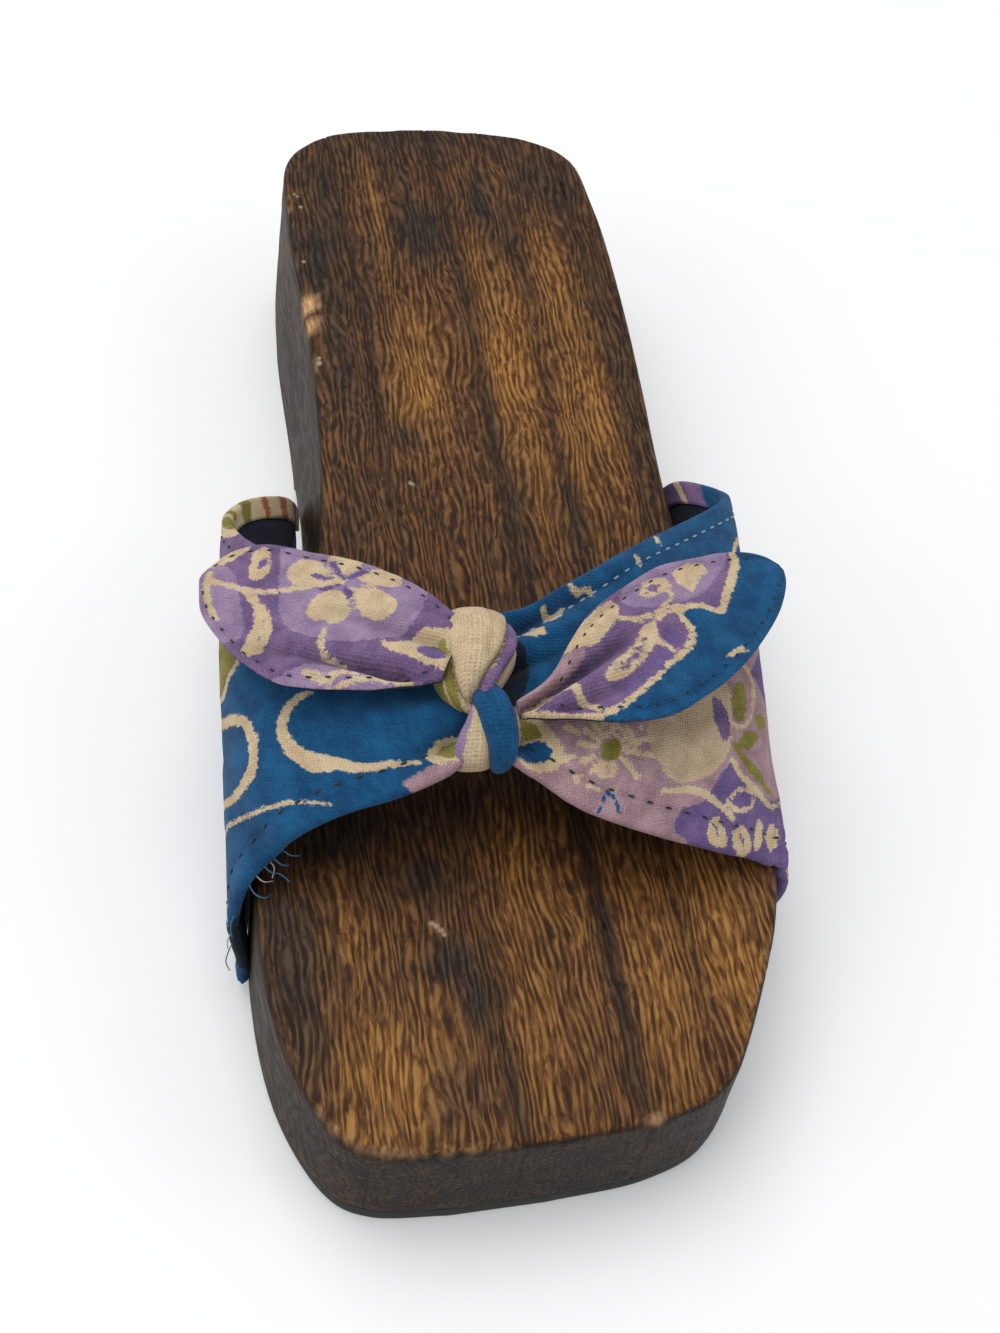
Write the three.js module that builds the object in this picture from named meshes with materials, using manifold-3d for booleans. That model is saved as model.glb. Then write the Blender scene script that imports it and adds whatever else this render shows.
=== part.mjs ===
// A slide sandal in the geta manner: a scorched wooden wedge on two thin rubber soles,
// with one wide cotton strap that is knotted in the middle and ends in two leaf-shaped tails.
// Millimetres, +Z up. The toe points to -Y, the heel to +Y, the floor is z = 0.
import * as THREE from 'three';
import { mergeVertices } from 'three/addons/utils/BufferGeometryUtils.js';
import Module from 'manifold-3d';

// ---- driving dimensions ----------------------------------------------------------------
const RUBBER = 3.5;              // thickness of both rubber soles
const GAP = 0.3;                 // clearance between pieces that touch
const TOE_TOP = 26;              // height of the foot bed over the forefoot
const HEEL_TOP = 42;             // height of the foot bed at the heel
const RISE_START = 70;           // the foot bed starts to rise here, measured from the toe
const RISE_END = 218;            // and is level again from here
const ARCH_START = 92;           // hollow under the waist
const ARCH_END = 168;
const ARCH_HEIGHT = 11;
const EDGE_ROUND = 2.2;          // worn rounding of the foot bed's edge
const LEAN_ENDS = 1.0;           // how far the side walls run outward to the bottom, at toe and heel
const LEAN_WAIST = 3.2;          // the same at the waist
const RUBBER_INSET = 0.2;        // the rubber stops just short of the wood's bottom edge
const ARCH_OVERLAP = 2;          // the rubber runs on a little under the hollow
const BEFORE_TOE = -10;          // two places clear of the shoe's ends
const BEHIND_HEEL = 260;
const LEAN_START = 55;           // the lean grows from here towards the waist
const LEAN_LENGTH = 185;
const WAIST_AT = 0.45;           // height of the wall's middle ring, as a share of the wall
const WAIST_LEAN = 0.55;         // share of the lean that the middle ring has
const STRAP_WALL = 2.0;          // two layers of cotton with an interlining
const STRAP_PLAY = 0.15;         // extra room between strap and wood, for the flat facets
const UNDER_STRAP = 6;           // the knot and tails are also cut clear this far under the strap
const SOLE_STEPS = 58;
const STRAP_STEPS = 46;
const STRAP_ACROSS = 12;
const KNOT_STEPS = 18;
const KNOT_AROUND = 20;
const TAIL_STEPS = 22;
const TAIL_AROUND = 16;
const CENTRE_X = 5.97;           // moves the middle of the whole box over the origin
const CENTRE_Y = -120.15;

// Outline of the foot bed from toe to heel: the left and the right edge, row by row.
const FOOT_BED = [
  { leftX: -26.0, leftY: -0.7, rightX: -10.0, rightY: -0.5 },
  { leftX: -40.0, leftY: 0.9, rightX: 9.2, rightY: 1.3 },
  { leftX: -45.8, leftY: 4.4, rightX: 20.0, rightY: 5.8 },
  { leftX: -52.9, leftY: 19.0, rightX: 29.4, rightY: 20.0 },
  { leftX: -55.6, leftY: 42.0, rightX: 38.6, rightY: 42.0 },
  { leftX: -52.8, leftY: 68.0, rightX: 41.0, rightY: 68.0 },
  { leftX: -42.8, leftY: 100.0, rightX: 39.6, rightY: 100.0 },
  { leftX: -35.0, leftY: 132.0, rightX: 37.2, rightY: 132.0 },
  { leftX: -32.9, leftY: 168.0, rightX: 37.5, rightY: 168.0 },
  { leftX: -34.0, leftY: 212.0, rightX: 36.5, rightY: 212.0 },
  { leftX: -31.6, leftY: 230.5, rightX: 33.7, rightY: 230.0 },
  { leftX: -22.5, leftY: 238.6, rightX: 23.6, rightY: 237.2 },
  { leftX: -4.0, leftY: 241.0, rightX: 3.0, rightY: 240.9 },
];

// The strap from its left end, low on the wood, over the foot to its right end.
// hug: 1 lies against the wood's side, 0 stands free. crown: how far the middle bows out.
const STRAP = [
  { rearX: -40, rearY: 149, rearZ: 9.5, frontX: -57.3, frontY: 44.5, frontZ: 4.2, crown: 0, hug: 1 },
  { rearX: -42.5, rearY: 148, rearZ: 17, frontX: -59.2, frontY: 46, frontZ: 12, crown: 0.6, hug: 0.6 },
  { rearX: -48.5, rearY: 141, rearZ: 26, frontX: -59.6, frontY: 48, frontZ: 21, crown: 1.2, hug: 0.1 },
  { rearX: -53.4, rearY: 130, rearZ: 34, frontX: -56.6, frontY: 50.5, frontZ: 29.5, crown: 2.2, hug: 0 },
  { rearX: -52, rearY: 119, rearZ: 40.5, frontX: -50.2, frontY: 53, frontZ: 37.5, crown: 3.2, hug: 0 },
  { rearX: -46, rearY: 110, rearZ: 44.5, frontX: -41.5, frontY: 54, frontZ: 43.6, crown: 3, hug: 0 },
  { rearX: -35, rearY: 102, rearZ: 47.2, frontX: -30.5, frontY: 54.5, frontZ: 47.8, crown: 2.4, hug: 0 },
  { rearX: -25, rearY: 95, rearZ: 48.8, frontX: -22.5, frontY: 57, frontZ: 49.2, crown: 1.2, hug: 0 },
  { rearX: -15.5, rearY: 87.5, rearZ: 49.6, frontX: -15.5, frontY: 61, frontZ: 49.6, crown: 0.6, hug: 0 },
  { rearX: -5.5, rearY: 88, rearZ: 50.6, frontX: -8, frontY: 56, frontZ: 48.6, crown: 1, hug: 0 },
  { rearX: 6, rearY: 94, rearZ: 51, frontX: 0.5, frontY: 50, frontZ: 46, crown: 1.8, hug: 0 },
  { rearX: 21, rearY: 104.5, rearZ: 48.2, frontX: 12.5, frontY: 47, frontZ: 41.2, crown: 3, hug: 0 },
  { rearX: 34.5, rearY: 114, rearZ: 43.6, frontX: 25, frontY: 45.8, frontZ: 35.4, crown: 3.6, hug: 0 },
  { rearX: 44.8, rearY: 122.5, rearZ: 39, frontX: 35, frontY: 46.2, frontZ: 29.2, crown: 2.8, hug: 0 },
  { rearX: 49, rearY: 131, rearZ: 33, frontX: 41.8, frontY: 46.4, frontZ: 22, crown: 0.6, hug: 0.1 },
  { rearX: 47, rearY: 141, rearZ: 25, frontX: 44.2, frontY: 46.4, frontZ: 14, crown: 0.3, hug: 0.55 },
  { rearX: 42, rearY: 148, rearZ: 9.5, frontX: 44.6, frontY: 46.6, frontZ: 4.2, crown: 0, hug: 1 },
];

// The knot, cut across from front to rear: centre, half width and half height.
const KNOT = [
  { y: 55.0, x: -16.8, z: 51.4, half: 3.0, high: 1.8 },
  { y: 57.5, x: -16.4, z: 52.6, half: 5.2, high: 4.4 },
  { y: 62.0, x: -15.4, z: 53.6, half: 5.6, high: 5.8 },
  { y: 68.0, x: -15.2, z: 54.5, half: 7.0, high: 7.2 },
  { y: 75.5, x: -14.8, z: 55.0, half: 7.7, high: 8.0 },
  { y: 82.5, x: -14.0, z: 55.0, half: 6.8, high: 6.6 },
  { y: 86.5, x: -13.2, z: 54.4, half: 4.2, high: 3.2 },
];

// The tails, each along its own axis from the knot to its tip: the two edges and the thickness.
const LEFT_TAIL = {
  root: [-22.0, 79.0, 56.6],
  tip: [-60.5, 99.7, 50.4],
  droop: 2.0,
  rows: [
    { along: -4.0, rear: 5.5, front: -7.5, thick: 4.0 },
    { along: 5.0, rear: 10.4, front: -12.4, thick: 3.6 },
    { along: 14.0, rear: 13.3, front: -15.2, thick: 3.0 },
    { along: 22.0, rear: 14.1, front: -16.3, thick: 2.4 },
    { along: 31.0, rear: 14.2, front: -13.2, thick: 2.4 },
    { along: 38.0, rear: 13.4, front: -8.4, thick: 2.4 },
    { along: 42.5, rear: 10.6, front: -4.0, thick: 2.2 },
    { along: 44.8, rear: 6.6, front: 0.4, thick: 1.8 },
    { along: 45.8, rear: 4.2, front: 2.6, thick: 1.0 },
  ],
};
const RIGHT_TAIL = {
  root: [-7.0, 68.5, 56.4],
  tip: [46.0, 88.5, 53.0],
  droop: 1.2,
  rows: [
    { along: -4.0, rear: 1.5, front: -4.5, thick: 3.4 },
    { along: 4.0, rear: 2.6, front: -9.0, thick: 3.8 },
    { along: 12.0, rear: 7.0, front: -13.2, thick: 3.2 },
    { along: 19.0, rear: 10.0, front: -15.1, thick: 2.6 },
    { along: 28.0, rear: 13.0, front: -14.0, thick: 2.4 },
    { along: 38.0, rear: 14.6, front: -11.2, thick: 2.4 },
    { along: 47.0, rear: 13.6, front: -6.8, thick: 2.4 },
    { along: 54.0, rear: 12.2, front: -2.2, thick: 2.4 },
    { along: 58.4, rear: 9.4, front: 2.2, thick: 2.0 },
    { along: 59.9, rear: 7.0, front: 4.8, thick: 1.0 },
  ],
};

const wasm = await Module();
wasm.setup();

// ---- small helpers ---------------------------------------------------------------------
function clamp01(value) {
  return Math.min(1, Math.max(0, value));
}

function smooth(value) {
  const t = clamp01(value);
  return t * t * (3 - 2 * t);
}

function mix(a, b, t) {
  return a + (b - a) * t;
}

// A curve through three named columns of a table, sampled at n + 1 even steps.
function curveThrough(points, n, spread) {
  const curve = new THREE.CatmullRomCurve3(points, false, 'centripetal');
  const samples = [];
  for (let i = 0; i <= n; i++) {
    samples.push(curve.getPoint(spread ? spread(i / n) : i / n));
  }
  return samples;
}

// A closed body from rings that all have the same number of points, with flat end caps.
function bodyFromRings(rings) {
  const positions = [];
  const around = rings[0].length;
  for (const ring of rings) {
    for (const p of ring) positions.push(p.x, p.y, p.z);
  }
  const index = [];
  for (let i = 0; i < rings.length - 1; i++) {
    for (let j = 0; j < around; j++) {
      const a = i * around + j;
      const b = i * around + (j + 1) % around;
      index.push(a, b, b + around);
      index.push(a, b + around, a + around);
    }
  }
  capRing(index, 0, around, true);
  capRing(index, (rings.length - 1) * around, around, false);
  return closedGeometry(positions, index);
}

// Closes a ring whose first half and second half face each other, as a ladder of quads.
function capRing(index, start, around, flip) {
  for (let j = 0; j < around / 2 - 1; j++) {
    const a = start + j;
    const b = start + j + 1;
    const c = start + around - 2 - j;
    const d = start + around - 1 - j;
    const rung = flip ? [a, c, b, a, d, c] : [a, b, c, a, c, d];
    index.push(...rung);
  }
}

function closedGeometry(positions, index) {
  let geometry = new THREE.BufferGeometry();
  geometry.setAttribute('position', new THREE.Float32BufferAttribute(positions, 3));
  geometry.setIndex(index);
  geometry = mergeVertices(geometry, 1e-4);
  if (signedVolume(geometry) < 0) {
    const order = geometry.index.array;
    for (let i = 0; i < order.length; i += 3) {
      const swap = order[i + 1];
      order[i + 1] = order[i + 2];
      order[i + 2] = swap;
    }
  }
  return geometry;
}

function signedVolume(geometry) {
  const p = geometry.attributes.position;
  const order = geometry.index.array;
  const a = new THREE.Vector3();
  const b = new THREE.Vector3();
  const c = new THREE.Vector3();
  let volume = 0;
  for (let i = 0; i < order.length; i += 3) {
    a.fromBufferAttribute(p, order[i]);
    b.fromBufferAttribute(p, order[i + 1]);
    c.fromBufferAttribute(p, order[i + 2]);
    volume += a.dot(b.cross(c)) / 6;
  }
  return volume;
}

function toSolid(geometry) {
  const vertProperties = new Float32Array(geometry.attributes.position.array);
  const triVerts = new Uint32Array(geometry.index.array);
  return new wasm.Manifold(new wasm.Mesh({ numProp: 3, vertProperties, triVerts }));
}

function toGeometry(solid) {
  const mesh = solid.getMesh();
  const geometry = new THREE.BufferGeometry();
  geometry.setAttribute('position', new THREE.Float32BufferAttribute(mesh.vertProperties, 3));
  geometry.setIndex(new THREE.Uint32BufferAttribute(mesh.triVerts, 1));
  return geometry;
}

// ---- the wooden body's form ------------------------------------------------------------
function footBedHeight(y) {
  return mix(TOE_TOP, HEEL_TOP, smooth((y - RISE_START) / (RISE_END - RISE_START)));
}

function undersideHeight(y) {
  const t = clamp01((y - ARCH_START) / (ARCH_END - ARCH_START));
  return RUBBER + GAP + ARCH_HEIGHT * Math.sin(Math.PI * t) ** 2;
}

function wallHeight(y, share) {
  return mix(undersideHeight(y), footBedHeight(y), share);
}

function wallLean(y) {
  const t = clamp01((y - LEAN_START) / LEAN_LENGTH);
  return mix(LEAN_ENDS, LEAN_WAIST, Math.sin(Math.PI * t) ** 2);
}

// The two edges of the foot bed as matching points, close together round the ends.
function bedEdges(steps) {
  const spread = (t) => t - 0.42 * Math.sin(2 * Math.PI * t) / (2 * Math.PI);
  const left = FOOT_BED.map((row) => new THREE.Vector3(row.leftX, row.leftY, 0));
  const right = FOOT_BED.map((row) => new THREE.Vector3(row.rightX, row.rightY, 0));
  return {
    left: curveThrough(left, steps, spread),
    right: curveThrough(right, steps, spread),
  };
}

// The outline moved outward (or inward, when negative) square to itself.
function movedEdges(edges, distanceAt) {
  const ring = [...edges.left, ...[...edges.right].reverse()];
  const count = ring.length;
  const moved = ring.map((p, i) => {
    const before = ring[(i + count - 1) % count];
    const after = ring[(i + 1) % count];
    const along = after.clone().sub(before).normalize();
    const outward = new THREE.Vector3(-along.y, along.x, 0);
    return p.clone().addScaledVector(outward, distanceAt(p.y));
  });
  const half = edges.left.length;
  return { left: moved.slice(0, half), right: moved.slice(half).reverse() };
}

function edgeLine(edges, heightAt) {
  const lift = (p) => new THREE.Vector3(p.x, p.y, heightAt(p.y));
  return [...edges.left.map(lift), ...[...edges.right].reverse().map(lift)];
}

function soleBody() {
  const bed = bedEdges(SOLE_STEPS);
  const round = EDGE_ROUND;
  const leanTop = (depth) => (y) => wallLean(y) * depth;
  const rings = [
    edgeLine(movedEdges(bed, leanTop(1)), (y) => undersideHeight(y)),
    edgeLine(movedEdges(bed, leanTop(WAIST_LEAN)), (y) => wallHeight(y, WAIST_AT)),
    edgeLine(movedEdges(bed, () => 0), (y) => footBedHeight(y) - round),
    edgeLine(movedEdges(bed, () => -0.3 * round), (y) => footBedHeight(y) - 0.3 * round),
    edgeLine(movedEdges(bed, () => -round), (y) => footBedHeight(y)),
  ];
  return bodyFromRings(rings);
}

// A flat rubber sole under the wood from one place to another, square at its inner end.
function rubberSole(from, to) {
  const bed = movedEdges(bedEdges(SOLE_STEPS), (y) => wallLean(y) - RUBBER_INSET);
  const inside = (p) => p.y > from && p.y < to;
  const pairs = bed.left.map((p, i) => [p, bed.right[i]]).filter(([a, b]) => inside(a) && inside(b));
  const left = pairs.map((pair) => pair[0]);
  const right = pairs.map((pair) => pair[1]).reverse();
  const outline = new THREE.Shape([...left, ...right].map((p) => new THREE.Vector2(p.x, p.y)));
  const geometry = new THREE.ExtrudeGeometry(outline, { depth: RUBBER, bevelEnabled: false });
  geometry.deleteAttribute('normal');
  geometry.deleteAttribute('uv');
  return mergeVertices(geometry, 1e-4);
}

// Where the wood's side wall stands at a place and height: side -1 is left, +1 is right.
const WALL_EDGES = bedEdges(SOLE_STEPS);
const WALL_FOOT = movedEdges(WALL_EDGES, wallLean);

function lineX(points, y) {
  for (let i = 0; i < points.length - 1; i++) {
    if (points[i].y <= y && points[i + 1].y >= y) {
      const t = (y - points[i].y) / (points[i + 1].y - points[i].y || 1);
      return mix(points[i].x, points[i + 1].x, t);
    }
  }
  return points[points.length - 1].x;
}

function wallX(side, y, z) {
  const top = side < 0 ? lineX(WALL_EDGES.left, y) : lineX(WALL_EDGES.right, y);
  const foot = side < 0 ? lineX(WALL_FOOT.left, y) : lineX(WALL_FOOT.right, y);
  const low = undersideHeight(y);
  const high = footBedHeight(y) - EDGE_ROUND;
  return mix(foot, top, clamp01((z - low) / (high - low)));
}

// ---- the strap -------------------------------------------------------------------------
// The strap's middle surface: a grid of points, from end to end and from rear to front.
function strapSurface(steps, across) {
  const rear = curveThrough(STRAP.map((r) => new THREE.Vector3(r.rearX, r.rearY, r.rearZ)), steps);
  const front = curveThrough(STRAP.map((r) => new THREE.Vector3(r.frontX, r.frontY, r.frontZ)), steps);
  const fit = curveThrough(STRAP.map((r, i) => new THREE.Vector3(r.crown, r.hug, i * 4)), steps);
  const grid = [];
  for (let i = 0; i <= steps; i++) {
    const side = i < steps / 2 ? -1 : 1;
    const row = [];
    const outward = strapOutward(rear, front, i);
    for (let j = 0; j <= across; j++) {
      const t = j / across;
      const p = rear[i].clone().lerp(front[i], t);
      p.addScaledVector(outward, fit[i].x * 4 * t * (1 - t));
      row.push(againstWood(p, side, clamp01(fit[i].y)));
    }
    grid.push(row);
  }
  return grid;
}

function strapOutward(rear, front, i) {
  const before = rear[Math.max(0, i - 1)].clone().lerp(front[Math.max(0, i - 1)], 0.5);
  const last = rear.length - 1;
  const after = rear[Math.min(last, i + 1)].clone().lerp(front[Math.min(last, i + 1)], 0.5);
  const along = after.sub(before).normalize();
  const outward = new THREE.Vector3(-along.z, 0, along.x);
  return outward.normalize();
}

// Lays a strap point against the wood's side, and never lets it go into the wood.
function againstWood(p, side, hug) {
  const clear = GAP + STRAP_WALL / 2 + STRAP_PLAY;
  const lowest = undersideHeight(p.y) + 1.0;
  p.z = hug > 0.95 ? lowest : Math.max(p.z, lowest);
  const wall = wallX(side, p.y, p.z);
  const top = footBedHeight(p.y);
  let out = mix(side * (p.x - wall), clear, hug);
  let above = p.z - top;
  if (above <= 0) {
    out = Math.max(out, clear);
  } else if (out <= 0) {
    above = Math.max(above, clear);
  } else {
    const grow = Math.max(1, clear / Math.hypot(out, above));
    out *= grow;
    above *= grow;
  }
  return p.set(wall + side * out, p.y, top + above);
}

function gridNormal(grid, i, j) {
  const rows = grid.length - 1;
  const cols = grid[0].length - 1;
  const a = grid[Math.min(rows, i + 1)][j].clone().sub(grid[Math.max(0, i - 1)][j]);
  const b = grid[i][Math.min(cols, j + 1)].clone().sub(grid[i][Math.max(0, j - 1)]);
  return b.cross(a).normalize();
}

// The strap's body between two distances from its middle surface, outward positive,
// and run on past its rear and front edges by a length.
function strapBody(outer, inner, beyond = 0) {
  const grid = strapSurface(STRAP_STEPS, STRAP_ACROSS);
  for (const row of grid) {
    const across = row[STRAP_ACROSS].clone().sub(row[0]).normalize();
    row[0].addScaledVector(across, -beyond);
    row[STRAP_ACROSS].addScaledVector(across, beyond);
  }
  const rings = grid.map((row, i) => {
    const far = row.map((p, j) => p.clone().addScaledVector(gridNormal(grid, i, j), outer));
    const near = row.map((p, j) => p.clone().addScaledVector(gridNormal(grid, i, j), inner));
    return [...far, ...near.reverse()];
  });
  return bodyFromRings(rings);
}

// ---- the knot and the tails ------------------------------------------------------------
function knotBody(extra) {
  const centre = curveThrough(KNOT.map((r) => new THREE.Vector3(r.x, r.y, r.z)), KNOT_STEPS);
  const sizes = curveThrough(KNOT.map((r) => new THREE.Vector3(r.half, r.y, r.high)), KNOT_STEPS);
  const rings = centre.map((c, i) => {
    const ring = [];
    for (let k = 0; k < KNOT_AROUND; k++) {
      const angle = 2 * Math.PI * (k + 0.5) / KNOT_AROUND;
      const x = c.x + (sizes[i].x + extra) * Math.cos(angle);
      const z = c.z + (sizes[i].z + extra) * Math.sin(angle);
      const end = i === 0 ? -extra : i === KNOT_STEPS ? extra : 0;
      ring.push(new THREE.Vector3(x, c.y + end, z));
    }
    return ring;
  });
  return bodyFromRings(rings);
}

function tailBody(tail) {
  const root = new THREE.Vector3(...tail.root);
  const tip = new THREE.Vector3(...tail.tip);
  const axis = tip.clone().sub(root).normalize();
  const length = tip.distanceTo(root);
  const across = new THREE.Vector3(0, 0, 1).cross(axis).normalize();
  if (across.y < 0) across.negate();
  const up = new THREE.Vector3(0, 0, 1);
  const rear = curveThrough(tail.rows.map((r) => new THREE.Vector3(r.along, r.rear, r.thick)), TAIL_STEPS);
  const front = curveThrough(tail.rows.map((r) => new THREE.Vector3(r.along, r.front, r.thick)), TAIL_STEPS);
  const rings = rear.map((r, i) => {
    const f = front[i];
    const ring = [];
    for (let k = 0; k < TAIL_AROUND; k++) {
      const angle = 2 * Math.PI * (k + 0.5) / TAIL_AROUND;
      const t = 0.5 - 0.5 * Math.cos(angle);
      const along = mix(r.x, f.x, t);
      const lift = Math.sin(angle) * r.z / 2 - tail.droop * (along / length) ** 2;
      const p = root.clone().addScaledVector(axis, along);
      p.addScaledVector(across, mix(r.y, f.y, t));
      ring.push(p.addScaledVector(up, lift));
    }
    return ring;
  });
  return bodyFromRings(rings);
}

// ---- materials and assembly ------------------------------------------------------------
function finish(color, roughness) {
  return new THREE.MeshStandardMaterial({ color, roughness, metalness: 0 });
}

const WOOD = finish(0x5a3c22, 0.55);
const BLACK_RUBBER = finish(0x161616, 0.8);
const PRINTED_COTTON = finish(0x1f6f95, 0.9);
const PURPLE_COTTON = finish(0x8c6fb0, 0.9);

const sandal = new THREE.Group();

function addPiece(name, geometry, material) {
  const mesh = new THREE.Mesh(geometry, material);
  mesh.name = name;
  sandal.add(mesh);
}

const half = STRAP_WALL / 2;
const strapSpace = toSolid(strapBody(half + GAP, -half - UNDER_STRAP, 2 * GAP));
const knotSpace = toSolid(knotBody(GAP));
const knot = toSolid(knotBody(0)).subtract(strapSpace);
const tailLeft = toSolid(tailBody(LEFT_TAIL)).subtract(knotSpace).subtract(strapSpace);
const tailRight = toSolid(tailBody(RIGHT_TAIL)).subtract(knotSpace).subtract(strapSpace);

addPiece('sole', soleBody(), WOOD);
addPiece('outsole_front', rubberSole(BEFORE_TOE, ARCH_START + ARCH_OVERLAP), BLACK_RUBBER);
addPiece('outsole_heel', rubberSole(ARCH_END - ARCH_OVERLAP, BEHIND_HEEL), BLACK_RUBBER);
addPiece('upper', strapBody(half, -half), PRINTED_COTTON);
addPiece('knot', toGeometry(knot), PRINTED_COTTON);
addPiece('bow_tail_left', toGeometry(tailLeft), PURPLE_COTTON);
addPiece('bow_tail_right', toGeometry(tailRight), PURPLE_COTTON);

sandal.position.set(CENTRE_X, CENTRE_Y, 0);

export default sandal;
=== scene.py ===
import math

import bmesh
import bpy
import numpy as np
from mathutils import Matrix, Quaternion, Vector, noise


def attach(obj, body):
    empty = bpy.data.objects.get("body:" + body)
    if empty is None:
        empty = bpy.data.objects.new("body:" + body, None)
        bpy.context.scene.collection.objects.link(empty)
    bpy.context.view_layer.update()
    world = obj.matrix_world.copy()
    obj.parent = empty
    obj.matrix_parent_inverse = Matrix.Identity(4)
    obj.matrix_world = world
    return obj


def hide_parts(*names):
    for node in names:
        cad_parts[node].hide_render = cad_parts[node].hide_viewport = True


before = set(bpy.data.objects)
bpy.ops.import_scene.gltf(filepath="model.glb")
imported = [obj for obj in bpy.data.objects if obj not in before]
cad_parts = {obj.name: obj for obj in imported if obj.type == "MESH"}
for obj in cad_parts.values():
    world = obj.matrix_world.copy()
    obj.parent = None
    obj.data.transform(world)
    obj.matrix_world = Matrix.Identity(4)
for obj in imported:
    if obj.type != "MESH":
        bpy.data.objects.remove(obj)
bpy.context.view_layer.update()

# ---- Camera -------------------------------------------------------------------------
# The sandal is seen from in front of the toe and from above, a little from its left,
# with the camera rolled so that the sandal leans to the left in the picture.
CAMERA_PLACE = Vector((-0.0657, -0.2230, 0.2994))
CAMERA_AIM = Vector((-0.0014, -0.0351, 0.0400))
CAMERA_ROLL = math.radians(11.39)
CAMERA_LENS = 48.0

camera_data = bpy.data.cameras.new("camera")
camera_data.lens = CAMERA_LENS
camera_data.sensor_width = 36.0
camera_data.clip_start = 0.01
camera_data.dof.use_dof = False
camera = bpy.data.objects.new("camera", camera_data)
camera.location = CAMERA_PLACE
camera.rotation_mode = "QUATERNION"
camera.rotation_quaternion = (CAMERA_AIM - CAMERA_PLACE).to_track_quat("-Z", "Y") @ Quaternion(
    (0.0, 0.0, 1.0), CAMERA_ROLL
)
bpy.context.scene.collection.objects.link(camera)
bpy.context.scene.camera = camera
bpy.context.scene.view_settings.view_transform = "Standard"

# ---- Studio -------------------------------------------------------------------------
# A flat sheet of white paper under one big softbox overhead and two weaker ones at the sides,
# as for a catalogue picture. The paper is matt white, lit a little from behind.


def linear(hex_colour):
    """An sRGB hex colour, such as "#a97a3e", as the linear numbers that a shader socket takes."""
    parts = [int(hex_colour[k:k + 2], 16) / 255 for k in (1, 3, 5)]
    return (*[c / 12.92 if c <= 0.04045 else ((c + 0.055) / 1.055) ** 2.4 for c in parts], 1.0)


def new_material(name):
    """A material with an empty node tree."""
    material = bpy.data.materials.new(name)
    material.use_nodes = True
    material.node_tree.nodes.clear()
    return material


def add_node(material, kind, links=None, stops=None, **settings):
    """
    Adds a node. links go from an input's name to the socket that feeds it, stops are a ramp's places and
    colours, and settings are the node's properties or its unlinked inputs.
    """
    made = material.node_tree.nodes.new(kind)
    for name, value in settings.items():
        if hasattr(made, name):
            setattr(made, name, value)
        else:
            made.inputs[name.replace("_", " ")].default_value = value
    for name, source in (links or {}).items():
        material.node_tree.links.new(source, made.inputs[name])
    if stops:
        ramp = made.color_ramp
        while len(ramp.elements) < len(stops):
            ramp.elements.new(0.5)
        for element, (place, colour) in zip(ramp.elements, stops):
            element.position = place
            element.color = linear(colour)
    return made


def add_object(name, mesh_maker, materials, smooth=True):
    """Turns a finished bmesh into an object that sits at the origin."""
    mesh = bpy.data.meshes.new(name)
    mesh_maker.to_mesh(mesh)
    mesh_maker.free()
    for material in materials:
        mesh.materials.append(material)
    for face in mesh.polygons:
        face.use_smooth = smooth
    made = bpy.data.objects.new(name, mesh)
    bpy.context.scene.collection.objects.link(made)
    return made


paper = new_material("matt_white_paper")
paper_shader = add_node(
    paper, "ShaderNodeBsdfPrincipled", Base_Color=linear("#f8f8f7"), Roughness=0.9,
    Emission_Color=linear("#ffffff"), Emission_Strength=0.10,
)
add_node(paper, "ShaderNodeOutputMaterial", {"Surface": paper_shader.outputs["BSDF"]})
floor_maker = bmesh.new()
bmesh.ops.create_grid(floor_maker, x_segments=2, y_segments=2, size=3.0)
floor = add_object("paper_floor", floor_maker, [paper], smooth=False)

SOFTBOXES = [
    # name, place, size, watts
    ("softbox_overhead", (-0.25, 0.35, 1.25), 1.1, 9.5),
    ("softbox_left", (-1.1, -0.35, 0.75), 0.9, 3.2),
    ("softbox_right", (1.1, -0.5, 0.8), 0.9, 2.2),
]
for name, place, size, watts in SOFTBOXES:
    light = bpy.data.lights.new(name, "AREA")
    light.size = size
    light.energy = watts
    lamp = bpy.data.objects.new(name, light)
    lamp.location = place
    lamp.rotation_mode = "QUATERNION"
    lamp.rotation_quaternion = (-Vector(place)).to_track_quat("-Z", "Y")
    bpy.context.scene.collection.objects.link(lamp)

room = bpy.data.worlds.new("pale_room")
room.use_nodes = True
room.node_tree.nodes["Background"].inputs["Color"].default_value = linear("#f0f2f6")
room.node_tree.nodes["Background"].inputs["Strength"].default_value = 0.5
bpy.context.scene.world = room

# ---- Wooden sole --------------------------------------------------------------------
# The real sole is a wedge of paulownia, glued up from lengthwise boards, sawn to shape,
# scorched with a flame and brushed, so that the grain stands up dark and golden.

MM = 0.001
SHOE_PLACE = Vector((5.97, -120.15, 0.0))  # from sizes measured from the toe to the frame
RUBBER = 3.5
GAP = 0.3  # air between pieces that are glued or lie on each other
BED_LENGTH = 241.0
TOE_TOP = 26.0
HEEL_TOP = 42.0
RISE_START, RISE_END = 70.0, 218.0
ARCH_START, ARCH_END, ARCH_HEIGHT = 92.0, 168.0, 11.0
EDGE_ROUND = 2.0
LEAN_ENDS, LEAN_WAIST = 1.0, 3.2  # how far the walls lean out on their way down
WAIST_START, WAIST_LENGTH = 55.0, 185.0
OUTLINE_POINTS = 216
CROWDING = 0.42  # how much closer the outline's points stand round the toe and the heel

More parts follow.
